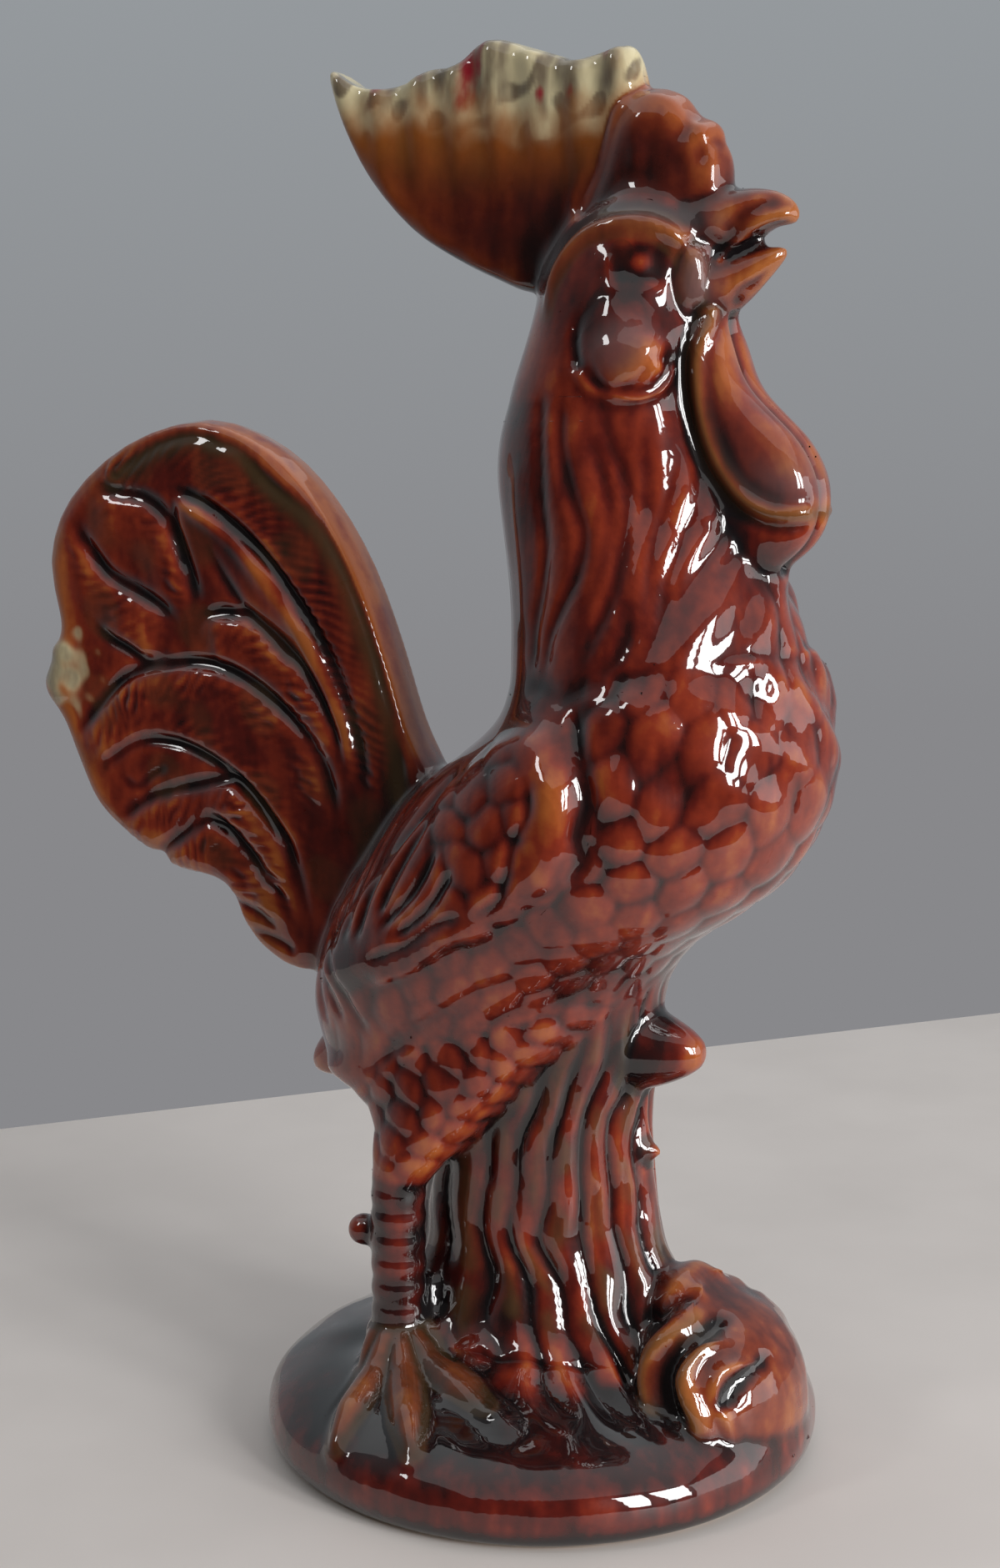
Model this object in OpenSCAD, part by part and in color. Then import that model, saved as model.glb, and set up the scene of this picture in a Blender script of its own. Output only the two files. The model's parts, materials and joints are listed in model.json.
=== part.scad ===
// Standing rooster ornament in glazed ceramic, on a round plinth.
// Slip-cast hollow shells and solid pressed sprigs, luted together before firing.
// The rooster faces +X and +Z is up. The origin is the middle of the underside.

/* [Plinth] */
// Diameter of the plinth at its widest line
base_d = 121; // [114:1:130]
// Height of the middle of the domed top
base_h = 24; // [21:0.5:25]
// Height of the widest line
base_rim_z = 8; // [6.5:0.5:10]
// How far the underside is drawn in from the widest line
base_undercut = 2; // [1:0.5:5]
// Wall of the plinth
base_wall = 5; // [4:0.5:6]
// Diameter of the drain hole in the underside
drain_d = 10; // [6:0.5:14]
// Distance of the drain hole behind the middle
drain_back = 28; // [22:1:34]

/* [Clump] */
// Place of the middle of the clump along the plinth
tuft_x = -1; // [-3:0.5:1]
// Length of the clump at its waist
tuft_l = 59; // [54:1:62]
// Width of the clump at its waist
tuft_w = 40; // [36:1:44]
// How far the top of the clump leans forwards
tuft_lean = 14; // [11:0.5:16]
// Length of the clump where it meets the belly
tuft_top_l = 27; // [24:1:30]
// How far the foot of the clump spreads beyond its waist
tuft_spread = 5; // [3:0.5:7]
// Number of flutes around the clump
flute_n = 20; // [12:1:24]
// Depth of the flutes
flute_depth = 1.4; // [0.6:0.1:2]
// Wall of the clump
tuft_wall = 6; // [5:0.5:8]
// Diameter of the cut stub under the breast, where it leaves the clump
upper_knot_d = 21; // [18:0.5:22]
// Diameter of the blunt end of the cut stub
upper_knot_end = 9; // [7:0.5:11]
// Reach of the cut stub from the middle of the clump
upper_knot_reach = 37.5; // [36:0.5:39]
// Diameter of the small bud
lower_knot_d = 7; // [5:0.5:9]
// Reach of the small bud from the face of the clump
lower_knot_reach = 3; // [2:0.5:5]
// Height of the small bud
lower_knot_z = 66; // [60:1:70]
// Distance of the back of the curled leaf in front of the middle of the plinth
leaf_x = 24; // [22:0.5:25]
// Length of the curled leaf along the plinth
leaf_l = 37; // [34:1:38]
// Width of the curled leaf across the plinth
leaf_w = 50; // [46:1:56]
// Height of the top of the curled leaf
leaf_top_z = 43; // [40:1:45]
// Thickness of the curls on each flank of the leaf
curl_d = 5; // [3.5:0.5:6]

/* [Legs] */
// Place of the shanks along the plinth
leg_x = -22; // [-25:0.5:-19]
// Distance between the axes of the shanks
leg_span = 50; // [46:1:56]
// Diameter of a shank over its rings
shank_d = 12; // [10:0.5:13]
// Height of the seam between shank and thigh
shank_top_z = 60; // [56:1:64]
// Height of the seam between foot and shank
shank_low_z = 29; // [27:0.5:32]
// Number of rings on a shank
ring_n = 6; // [4:1:8]
// Depth of the grooves between the rings
ring_depth = 0.7; // [0.3:0.1:1.2]
// Diameter of the spur knob
spur_d = 7; // [5:0.5:8]
// Height of the spur
spur_z = 48; // [44:1:52]
// Reach of the spur from the axis of the shank
spur_reach = 8.5; // [7:0.5:10]
// Diameter of a toe at its root
toe_d = 9; // [7:0.5:10]
// Reach of the toes from the axis of the shank
toe_reach = 29; // [25:0.5:31]
// How far a foot and the low end of a thigh stand proud of the shank
ankle_proud = 0.75; // [0.5:0.25:1.5]
// How far the top of a thigh lies in front of its shank
thigh_lean = 9; // [7:0.5:11]
// Length of the thigh where it meets the belly
thigh_l = 76; // [68:1:80]
// Width of the thigh where it meets the belly
thigh_w = 25; // [21:0.5:27]

/* [Body] */
// Place of the rump
rump_x = -53; // [-55:0.5:-51]
// Length from the rump to the breast
body_l = 116.5; // [110:0.5:124]
// Width of the body
body_w = 76; // [70:1:82]
// Place of the middle of the belly seat
seat_x = -12; // [-14:0.5:-9]
// Height of the middle of the belly seat
seat_z = 91.5; // [88:0.5:95]
// Length of the belly seat
seat_l = 78; // [74:0.5:82]
// Width of the belly seat
seat_w = 58; // [54:1:62]
// Slope of the belly seat, rising to the breast
seat_tilt = 17.7; // [14:0.1:21]
// Wall of the body, neck and head
shell_wall = 5; // [4:0.5:6]
// Diameter of the vent bores between the hollows
vent_d = 8; // [5:0.5:10]
// Reach of the pointed tuft under the tail behind the rump
fluff_reach = 6; // [4:0.5:8]
// Thickness of that tuft at its root
fluff_d = 15; // [12:0.5:16]
// Distance of the tip of a wing in front of the rump
wing_tip = 12.5; // [11:0.5:16]
// Distance of the top of a wing below the neck seam
wing_drop = 9; // [7:0.5:11]
// Length of a wing
wing_l = 66; // [58:1:72]
// Height of a wing
wing_h = 58; // [50:1:62]
// Height that a wing stands proud of the body
wing_t = 4; // [2.5:0.5:5]

/* [Tail] */
// Depth of the root of the tail from the rump
tail_root = 31; // [27:0.5:34]
// Height of the lowest edge of the tail over the middle of the belly seat
tail_rise = 5.5; // [3:0.5:8]
// Length of the tail from its root to its rear edge
tail_l = 106; // [96:1:116]
// Height of the tail from its lowest to its highest edge
tail_h = 123; // [112:1:134]
// Thickness of the tail
tail_t = 15; // [13:0.5:18]
// Wall of the tail
tail_wall = 4.5; // [4:0.5:5.5]
// Depth of the grooves between the feathers of the tail
quill_depth = 1.4; // [0.8:0.1:2]
// Width of those grooves
quill_w = 4.4; // [3:0.2:6]

/* [Neck and head] */
// Height of the seam between body and neck
neck_z = 169; // [165:0.5:173]
// Place of the middle of that seam
neck_x = 26.25; // [24:0.25:28]
// Length of that seam
neck_l = 62.5; // [58:0.5:67]
// Width of that seam
neck_w = 62; // [58:1:66]
// Slope of that seam
neck_tilt = 5.5; // [3:0.5:8]
// Height of the seam between neck and head
head_z = 221; // [218:0.5:224]
// Place of the middle of that seam
head_x = 14; // [12:0.5:16]
// Length of that seam
head_l = 42; // [39:0.5:45]
// Width of that seam
head_w = 41; // [38:0.5:44]
// Height of the crown under the comb
crown_z = 263.5; // [260:0.5:267]
// Diameter of an eye
eye_d = 6; // [4.5:0.5:6.5]
// How deep an eye is set
eye_sink = 0.8; // [0.4:0.1:1.4]
// Thickness of the roll around the face
brow_d = 5; // [3.5:0.5:6]
// Length of an ear lobe
ear_l = 17; // [14:0.5:19]
// Height of an ear lobe
ear_h = 22; // [18:0.5:24]
// Thickness of an ear lobe over the cheek
ear_t = 3.5; // [2.5:0.5:5]

/* [Comb, beak and wattles] */
// Distance of the rear tip of the comb behind the middle of the face
comb_back = 72.5; // [66:0.5:79]
// Depth of the root of the comb below the crown
comb_root = 18.5; // [16:0.5:21]
// Length of the comb blade
comb_l = 74; // [66:1:82]
// Height of the comb blade
comb_h = 51; // [46:1:56]
// Thickness of the comb blade
comb_t = 9; // [7:0.5:11]
// Distance of the back of the front lobes behind the middle of the face
lobe_back = 12.5; // [11:0.5:14]
// Depth of the root of the front lobes below the crown
lobe_root = 7; // [5.5:0.5:9]
// Length of the front lobes of the comb
lobe_l = 31; // [28:0.5:34]
// Height of the front lobes of the comb
lobe_h = 27; // [24:0.5:30]
// Thickness of the front lobes of the comb
lobe_t = 15; // [12:0.5:18]
// Length of the upper beak from the middle of the face
beak_l = 32; // [29:0.5:34]
// Width of the upper beak at its root
beak_w = 18; // [15:0.5:20]
// Height of the upper beak at its root
beak_h = 12; // [10:0.5:13]
// Length of the lower beak from the middle of the face
jaw_l = 30; // [27:0.5:32]
// Height of the lower beak at its root
jaw_h = 14; // [12:0.5:16]
// Distance of the lower beak below the middle of the upper beak
jaw_drop = 7; // [6.5:0.5:8]
// Length of the tongue from the middle of the face
tongue_l = 25; // [22:0.5:27]
// Thickness of the tongue at its root
tongue_t = 5; // [4:0.5:6]
// How far the wattles lie in front of the middle of the face
wattle_ahead = 8; // [7:0.5:9]
// Depth of the top of the wattles below the middle of the upper beak
wattle_drop = 14; // [12:0.5:16]
// Length of a wattle
wattle_l = 31; // [27:0.5:34]
// Height of a wattle
wattle_h = 52; // [46:1:56]
// Thickness of one wattle lobe
wattle_t = 10; // [8:0.5:12]

/* [Hidden] */

// Glaze colours
glaze_red = [0.36, 0.13, 0.07];
glaze_amber = [0.55, 0.28, 0.10];
glaze_dark = [0.20, 0.09, 0.07];
glaze_cream = [0.80, 0.75, 0.60];

// Sides of a large, a middling and a small ring, and rings laid per station
wide_n = 44;
mid_n = 34;
slim_n = 24;
lay_n = 3;
// Clearance between a shank and the trough that it lies in
lute_gap = 0.2;
// Length by which a cutter runs past what it cuts
over = 10;

leg_y = leg_span / 2;
base_r = base_d / 2;
hub_d = shank_d + 2 * ankle_proud;
hub_h = shank_d * 0.45;

// Smooth curve through the rows of a list, at position u
function blend(a, b, c, d, t) =
  0.5 * (2 * b + t * ((c - a) + t * ((2 * a - 5 * b + 4 * c - d) + t * (3 * b - a - 3 * c + d))));
function along(rows, u) =
  let (last = len(rows) - 1, i = max(0, min(last - 1, floor(u))))
  blend(rows[max(0, i - 1)], rows[i], rows[i + 1], rows[min(last, i + 2)], u - i);
function closed_curve(points, per_span) =
  let (n = len(points))
  [for (i = [0:n - 1]) for (s = [0:per_span - 1])
    blend(points[(i + n - 1) % n], points[i], points[(i + 1) % n], points[(i + 2) % n], s / per_span)];
function spread(from, to, count) = [for (i = [0:count]) from + (to - from) * i / count];
function unit(v) = v / norm(v);

// A station is [rear x, rear z, front x, front z, half width, middle y]
function station_point(row, angle, inset = 0) =
  let (mid = [(row[0] + row[2]) / 2, row[5], (row[1] + row[3]) / 2],
    arm = [(row[2] - row[0]) / 2, 0, (row[3] - row[1]) / 2],
    reach = max(0.2, norm(arm) - inset))
  mid + unit(arm) * reach * cos(angle) + [0, max(0.2, row[4] - inset) * sin(angle), 0];
function ring(row, n, inset = 0) = [for (j = [0:n - 1]) station_point(row, 360 * j / n, inset)];
function rings(rows, from, to, n, inset = 0) =
  [for (u = spread(from, to, ceil((to - from) * lay_n))) ring(along(rows, u), n, inset)];
function seam_station(x, z, l, tilt, w, y = 0) =
  [x - cos(tilt) * l / 2, z - sin(tilt) * l / 2, x + cos(tilt) * l / 2, z + sin(tilt) * l / 2, w / 2, y];

// Closed solid through a stack of rings with the same number of points
module loft(stack) {
  m = len(stack);
  n = len(stack[0]);
  function mean(points) = [for (p = points) 1] * points / len(points);
  points = [for (r = stack) each r, mean(stack[0]), mean(stack[m - 1])];
  sides = [for (i = [0:m - 2]) for (j = [0:n - 1])
    let (a = i * n + j, b = i * n + (j + 1) % n) each [[a, a + n, b + n], [a, b + n, b]]];
  low_end = [for (j = [0:n - 1]) [m * n, j, (j + 1) % n]];
  high_end = [for (j = [0:n - 1]) [m * n + 1, (m - 1) * n + (j + 1) % n, (m - 1) * n + j]];
  polyhedron(points, concat(sides, low_end, high_end), convexity = 6);
}

// Slab along Y whose outline, in x and z, shrinks towards its heart in each layer [y, scale]
module slab(outline, heart, layers) {
  loft([for (layer = layers)
    [for (p = outline) let (q = heart + (p - heart) * layer[1]) [q[0], layer[0], q[1]]]]);
}
function slab_layers(t, edge, round) = [for (s = [[-1, edge], [-0.8, round], [0, 1], [0.8, round], [1, edge]])
  [s[0] * t / 2, s[1]]];

// Roll of clay along a path, with its own radius at each point
module roll(path, radii) {
  last = len(path) - 1;
  loft([for (i = [0:last])
    let (ahead = unit(path[min(last, i + 1)] - path[max(0, i - 1)]),
      side = unit(cross(ahead, [0, 1, 0])),
      rise = cross(side, ahead))
    [for (j = [0:11]) path[i] + radii[i] * (rise * cos(30 * j) + side * sin(30 * j))]]);
}

module right_side() {
  mirror([0, 1, 0]) children();
}

// Stations of the body, neck and head, from the belly seat to the crown
seat_row = seam_station(seat_x, seat_z, seat_l, seat_tilt, seat_w);
neck_row = seam_station(neck_x, neck_z, neck_l, neck_tilt, neck_w);
head_row = seam_station(head_x, head_z, head_l, 0, head_w);
// Shares of length and height on the back line and the breast line, and share of width
body_shares = [
  [0.00, 0.01, 0.762, 0.29, 0.90],
  [0.03, 0.21, 0.898, 0.43, 0.975],
  [0.11, 0.42, 0.975, 0.60, 1.00],
  [0.215, 0.63, 1.000, 0.77, 0.985],
  [0.382, 0.83, 0.983, 0.91, 0.92]];
body_rows = [for (s = body_shares)
  let (rise = neck_z - seat_z)
  [rump_x + body_l * s[0], seat_z + rise * s[1], rump_x + body_l * s[2], seat_z + rise * s[3],
    body_w / 2 * s[4], 0]];
// Shares of height, of seam length on the nape and on the throat, and of seam width
neck_shares = [[0.24, 0.0, 0.955, 0.90], [0.50, -0.03, 0.84, 0.806], [0.77, -0.06, 0.71, 0.726]];
neck_rows = [for (s = neck_shares)
  let (z = neck_z + (head_z - neck_z) * s[0], nape = neck_x - neck_l / 2)
  [nape + neck_l * s[1], z, nape + neck_l * s[2], z, neck_w / 2 * s[3], 0]];
head_shares = [[0.306, 0.10, 0.99, 0.90], [0.60, 0.194, 1.047, 0.805], [0.81, 0.313, 1.083, 0.66],
  [0.95, 0.48, 1.00, 0.415], [1.00, 0.69, 0.79, 0.07]];
head_rows = [for (s = head_shares)
  let (z = head_z + (crown_z - head_z) * s[0], nape = head_x - head_l / 2)
  [nape + head_l * s[1], z, nape + head_l * s[2], z, head_w / 2 * s[3], 0]];
torso = concat([seat_row], body_rows, [neck_row], neck_rows, [head_row], head_rows);
neck_u = len(body_rows) + 1;
head_u = neck_u + len(neck_rows) + 1;
crown_u = len(torso) - 1;
// Point on the skin, u stations above the head seam, at an angle from the beak
function face_point(u, angle, inset = 0) = station_point(along(torso, head_u + u), angle, inset);
face_row = along(torso, head_u + 3);
face_x = (face_row[0] + face_row[2]) / 2;
face_z = face_row[1];

// Height of the domed top of the plinth at a distance from its middle
function dome_z(r) = base_rim_z + (base_h - base_rim_z) * sqrt(max(0, 1 - pow(r / base_r, 2)));

module plinth_form(inset) {
  r = base_r - inset;
  crown = base_h - base_rim_z - inset;
  foot = base_rim_z - inset;
  rotate_extrude($fn = 96)
    polygon(concat([[0, inset]],
      [for (a = [0:15:90]) [r - base_undercut * (1 - sin(a)), base_rim_z - foot * cos(a)]],
      [for (a = [10:10:90]) [r * cos(a), base_rim_z + crown * sin(a)]]));
}

module base_plinth() {
  color(glaze_red) difference() {
    plinth_form(0);
    plinth_form(base_wall);
    translate([-drain_back, 0, -over]) cylinder(d = drain_d, h = over + base_wall * 1.5, $fn = 48);
    translate([tuft_x, 0, base_h / 2]) cylinder(d = vent_d, h = base_h, $fn = 48);
  }
}

// Stations of the clump, from inside the plinth to above the belly seat
tuft_seat_x = tuft_x + tuft_lean;
tuft_seat_z = seat_z + (tuft_seat_x - seat_x) * tan(seat_tilt);
tuft_top_row = seam_station(tuft_seat_x, tuft_seat_z, tuft_top_l, seat_tilt, tuft_w * 0.8);
function tuft_row(lean, z, l, w) =
  let (x = tuft_x + tuft_lean * lean) [x - l / 2, z, x + l / 2, z, w / 2, 0];
tuft_rows = [
  tuft_row(0, base_rim_z / 2, tuft_l + tuft_spread * 3, tuft_w + tuft_spread * 3),
  tuft_row(0, base_h, tuft_l + tuft_spread * 2, tuft_w + tuft_spread * 2),
  tuft_row(0.07, (base_h + shank_top_z) / 2, tuft_l, tuft_w),
  tuft_row(0.07, shank_top_z, tuft_l * 0.88, tuft_w * 0.95),
  tuft_row(0.36, (shank_top_z + tuft_seat_z) / 2, tuft_l * 0.7, tuft_w * 0.9),
  tuft_top_row,
  tuft_top_row + [0, over, 0, over, 0, 0]];
tuft_top_u = len(tuft_rows) - 2;

// The clump without its bore, up to a station, with the flutes turning a little on the way up
module tuft_form(top_u = tuft_top_u) {
  n = flute_n * 3;
  twist = 35;
  loft([for (u = spread(0, top_u, top_u * 2))
    [for (j = [0:n - 1])
      station_point(along(tuft_rows, u), 360 * j / n, flute_depth * (0.5 + cos(120 * j + twist * u) / 2))]]);
}

module tuft_cutter() {
  tuft_form(tuft_top_u + 1);
}

module tuft_bore() {
  low = tuft_rows[0] - [0, over, 0, over, 0, 0];
  loft(rings(concat([low], tuft_rows), 0, tuft_top_u + 2, slim_n, tuft_wall));
}

// Room that a shank, its foot and its seams take beside the clump
module leg_trough() {
  translate([leg_x, leg_y, 0]) cylinder(d = hub_d + 2 * lute_gap, h = shank_top_z, $fn = 48);
}

module grass_tuft() {
  color(glaze_dark) difference() {
    tuft_form();
    tuft_bore();
    plinth_form(0);
    leg_trough();
    right_side() leg_trough();
  }
}

// Stub with a blunt nose, from inside the clump forwards: straight, then tapered, then rounded off
module knot_form(d, end_d, from_x, tip_x, z) {
  l = tip_x - from_x;
  nose = end_d / 3;
  taper = min(l * 0.6, d - end_d);
  difference() {
    translate([from_x, 0, z]) rotate([0, 90, 0]) rotate_extrude($fn = 48)
      polygon([[0, 0], [d / 2, 0], [d / 2, l - nose - taper], [end_d / 2, l - nose], [end_d / 4, l], [0, l]]);
    tuft_cutter();
  }
}

module upper_knot() {
  z = tuft_seat_z - upper_knot_d * 0.52;
  color(glaze_dark) knot_form(upper_knot_d, upper_knot_end, tuft_seat_x, tuft_x + upper_knot_reach, z);
}

module lower_knot() {
  climb = (lower_knot_z - tuft_rows[3][1]) / (tuft_rows[4][1] - tuft_rows[3][1]);
  front = along(tuft_rows, 3 + climb)[2];
  color(glaze_dark)
    knot_form(lower_knot_d, lower_knot_d * 0.4, front - lower_knot_d, front + lower_knot_reach, lower_knot_z);
}

// Shares of leaf height, of leaf length behind and in front, and of leaf width
leaf_shares = [[0, 0, 0.98, 1], [0.38, 0.03, 0.96, 0.95], [0.63, 0.06, 0.84, 0.8], [0.82, 0.1, 0.66, 0.6],
  [0.94, 0.17, 0.48, 0.38], [1, 0.26, 0.33, 0.12]];
leaf_rows = [for (s = leaf_shares)
  let (z = base_rim_z + (leaf_top_z - base_rim_z) * s[0])
  [leaf_x + leaf_l * s[1], z, leaf_x + leaf_l * s[2], z, leaf_w / 2 * s[3], 0]];

// Routes of the curls on a flank of the leaf: station, angle from the front, share of thickness.
// The lip of the leaf, the fold inside it and the tongue that turns forwards again
curl_routes = [
  [[4.3, 30, 0.5], [3.6, 62, 0.9], [3, 96, 1], [2, 114, 1], [1.35, 118, 1], [0.7, 111, 0.95], [0.1, 97, 0.7]],
  [[2.45, 46, 0.4], [2.4, 70, 0.8], [2.05, 84, 0.9], [1.6, 87, 0.9], [1, 79, 0.85], [0.4, 66, 0.6]],
  [[0.5, 54, 0.4], [1.15, 66, 0.7], [1.75, 63, 0.8], [1.8, 48, 0.7], [1.8, 26, 0.3]]];

module leaf_curls() {
  for (route = curl_routes) {
    stops = spread(0, len(route) - 1, (len(route) - 1) * 2);
    path = [for (u = stops)
      let (stop = along(route, u)) station_point(along(leaf_rows, stop[0]), stop[1])];
    roll(path, [for (u = stops) curl_d / 2 * along(route, u)[2]]);
  }
}

module leaf_scroll() {
  color(glaze_amber) difference() {
    union() {
      loft(rings(leaf_rows, 0, len(leaf_rows) - 1, mid_n));
      leaf_curls();
      right_side() leaf_curls();
    }
    plinth_form(0);
    tuft_cutter();
  }
}

// Toes: bearing from the outward direction towards the front, and share of reach
toes = [[2, 1.0], [33, 1.2], [62, 1.12]];
module toe_ball(bearing, share, d) {
  x = leg_x + toe_reach * share * sin(bearing);
  y = leg_y + toe_reach * share * cos(bearing);
  translate([x, y, dome_z(norm([x, y]))]) sphere(d = d, $fn = 16);
}

module foot_form() {
  difference() {
    union() {
      for (toe = toes) {
        hull() {
          translate([leg_x, leg_y, shank_low_z - hub_h]) cylinder(d = hub_d, h = hub_h, $fn = 32);
          toe_ball(toe[0], toe[1] * 0.33, toe_d);
        }
        hull() {
          toe_ball(toe[0], toe[1] * 0.33, toe_d);
          toe_ball(toe[0], toe[1] * 0.72, toe_d * 0.85);
        }
        hull() {
          toe_ball(toe[0], toe[1] * 0.72, toe_d * 0.85);
          toe_ball(toe[0], toe[1], toe_d * 0.4);
        }
      }
    }
    plinth_form(0);
    tuft_form();
  }
}

module left_foot() {
  color(glaze_amber) foot_form();
}

module right_foot() {
  color(glaze_amber) right_side() foot_form();
}

module shank_form() {
  h = shank_top_z - shank_low_z;
  pitch = h / ring_n;
  r = shank_d / 2;
  translate([leg_x, leg_y, shank_low_z]) rotate_extrude($fn = 64)
    polygon(concat([[0, 0]],
      [for (i = [0:ring_n - 1]) each [[r - ring_depth, pitch * i], [r, pitch * (i + 0.3)],
        [r, pitch * (i + 0.7)]]],
      [[r - ring_depth, h], [0, h]]));
}

module left_shank() {
  color(glaze_red) shank_form();
}

module right_shank() {
  color(glaze_red) right_side() shank_form();
}

module spur_form() {
  difference() {
    translate([leg_x, leg_y, spur_z]) rotate([0, -90, 0]) {
      cylinder(d = spur_d * 0.8, h = spur_reach, $fn = 40);
      translate([0, 0, spur_reach]) sphere(d = spur_d, $fn = 40);
    }
    shank_form();
  }
}

module left_spur() {
  color(glaze_amber) spur_form();
}

module right_spur() {
  color(glaze_amber) right_side() spur_form();
}

// Stations of a thigh, from the shank seam up to the belly seat
thigh_x = leg_x + thigh_lean;
thigh_y = (seat_w - thigh_w) / 2;
thigh_top_z = seat_z + (thigh_x - seat_x) * tan(seat_tilt);
thigh_top_row = seam_station(thigh_x, thigh_top_z, thigh_l, seat_tilt, thigh_w, thigh_y);
shank_top_row = seam_station(leg_x, shank_top_z, hub_d, 0, hub_d, leg_y);
// Shares of the way from the shank seam to the belly seat: in height and width, at the back and in front
thigh_shares = [[0.2, 0, 0.17], [0.42, 0.02, 0.38], [0.66, 0.12, 0.62], [0.86, 0.42, 0.85]];
thigh_rows = concat([shank_top_row],
  [for (s = thigh_shares)
    let (way = thigh_top_row - shank_top_row, share = [s[1], s[0], s[2], s[0], s[0], s[0]])
    [for (i = [0:5]) shank_top_row[i] + way[i] * share[i]]],
  [thigh_top_row]);

// Pointed tuft of down under the tail, from inside the body to behind the rump
module fluff_form() {
  root = [seat_row[0], 0, seat_row[1]];
  tip = [rump_x - fluff_reach, 0, seat_row[1] - fluff_d * 0.45];
  path = [root + fluff_d * [0.75, 0, 0.4], root + fluff_d * [0.1, 0, 0.03], (root + tip) / 2, tip];
  roll(path, [for (share = [0.5, 0.48, 0.33, 0.08]) fluff_d * share]);
}

module thigh_form() {
  difference() {
    loft(rings(thigh_rows, 0, len(thigh_rows) - 1, mid_n));
    tuft_cutter();
    fluff_form();
  }
}

module left_thigh() {
  color(glaze_red) thigh_form();
}

module right_thigh() {
  color(glaze_red) right_side() thigh_form();
}

// Bore between the hollow of the tail and the hollow of the body
module tail_vent() {
  translate([tail_heart[0], 0, tail_heart[1] - tail_h * 0.22]) rotate([0, 90, 0])
    cylinder(d = min(vent_d, tail_t - 2 * tail_wall), h = tail_l * 0.7, $fn = 32);
}

module body_shell() {
  color(glaze_red) difference() {
    union() {
      loft(rings(torso, 0, neck_u, wide_n));
      fluff_form();
    }
    loft(rings(torso, 0.7, neck_u + 0.5, slim_n, shell_wall));
    translate([tuft_seat_x, 0, tuft_seat_z - over]) cylinder(d = vent_d, h = over * 3.5, $fn = 48);
    tail_vent();
  }
}

// Outline of a wing in shares of its length and height, from the tip along the back to the shoulder
wing_shares = [[0, 0.02], [0.06, 0.2], [0.22, 0.42], [0.4, 0.64], [0.58, 0.85], [0.73, 0.98], [0.88, 0.98],
  [0.99, 0.76], [0.96, 0.55], [0.84, 0.4], [0.68, 0.29], [0.48, 0.19], [0.27, 0.08], [0.1, 0]];
wing_x = rump_x + wing_tip;
wing_z = neck_z - wing_drop - wing_h;
wing_heart = [wing_x + wing_l * 0.6, wing_z + wing_h * 0.5];

module wing_form() {
  outline = closed_curve([for (s = wing_shares) [wing_x + wing_l * s[0], wing_z + wing_h * s[1]]], 4);
  difference() {
    intersection() {
      loft(rings(torso, 0, neck_u, wide_n, -wing_t));
      slab(outline, wing_heart, [[tail_t * 0.6, 1.06], [body_w / 2 + over, 0.94]]);
    }
    loft(rings(torso, 0, neck_u, wide_n));
  }
}

module left_wing() {
  color(glaze_amber) wing_form();
}

module right_wing() {
  color(glaze_amber) right_side() wing_form();
}

// Outline of the tail in shares of its length from the root and of its height, from the rear edge
// over the top and down the front edge to the root, then along the lower edge
tail_shares = [[0.98, 0.51], [0.93, 0.585], [0.957, 0.74], [0.90, 0.857], [0.75, 0.955], [0.565, 0.996],
  [0.405, 0.95], [0.287, 0.86], [0.195, 0.74], [0.128, 0.60], [0.077, 0.47], [0.03, 0.39], [-0.05, 0.27],
  [0, 0.14], [0.18, 0.03], [0.33, 0.0], [0.43, 0.04], [0.472, 0.09], [0.51, 0.145], [0.63, 0.176],
  [0.752, 0.218], [0.843, 0.277], [0.892, 0.355], [0.93, 0.43]];
tail_x = rump_x + tail_root;
tail_z = seat_z + tail_rise;
tail_heart = [tail_x - tail_l * 0.495, tail_z + tail_h * 0.51];

module tail_form(inset) {
  outline = closed_curve([for (s = tail_shares) [tail_x - tail_l * s[0], tail_z + tail_h * s[1]]], 3);
  shrink = 1 - 2.6 * inset / tail_l;
  slab([for (p = outline) tail_heart + (p - tail_heart) * shrink], tail_heart,
    slab_layers(tail_t - 2 * inset, 0.93, 0.985));
}

// Grooves between the feathers, in the same shares, each with its steep wall on the right of its line
quill_lines = [
  [[0.629, 0.872], [0.516, 0.828], [0.408, 0.754], [0.323, 0.674], [0.258, 0.592], [0.204, 0.494],
    [0.178, 0.39]],
  [[0.824, 0.868], [0.763, 0.855], [0.694, 0.848], [0.643, 0.815], [0.591, 0.723], [0.561, 0.65]],
  [[0.888, 0.816], [0.839, 0.751], [0.793, 0.709], [0.721, 0.68], [0.643, 0.645], [0.608, 0.622]],
  [[0.637, 0.585], [0.687, 0.563], [0.738, 0.585], [0.784, 0.602], [0.835, 0.63]],
  [[0.58, 0.624], [0.537, 0.64], [0.447, 0.641], [0.343, 0.584], [0.29, 0.532], [0.238, 0.455],
    [0.208, 0.39]],
  [[0.821, 0.455], [0.774, 0.5], [0.708, 0.535], [0.613, 0.55], [0.531, 0.549], [0.449, 0.527],
    [0.372, 0.485], [0.306, 0.433], [0.261, 0.372], [0.241, 0.3]],
  [[0.325, 0.208], [0.375, 0.276], [0.445, 0.342], [0.523, 0.387], [0.616, 0.416], [0.71, 0.416],
    [0.79, 0.38]],
  [[0.736, 0.272], [0.65, 0.308], [0.576, 0.326], [0.503, 0.341], [0.466, 0.335], [0.41, 0.289],
    [0.359, 0.229], [0.326, 0.155]],
  [[0.375, 0.139], [0.419, 0.199], [0.45, 0.229], [0.516, 0.278], [0.568, 0.289]]];

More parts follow.
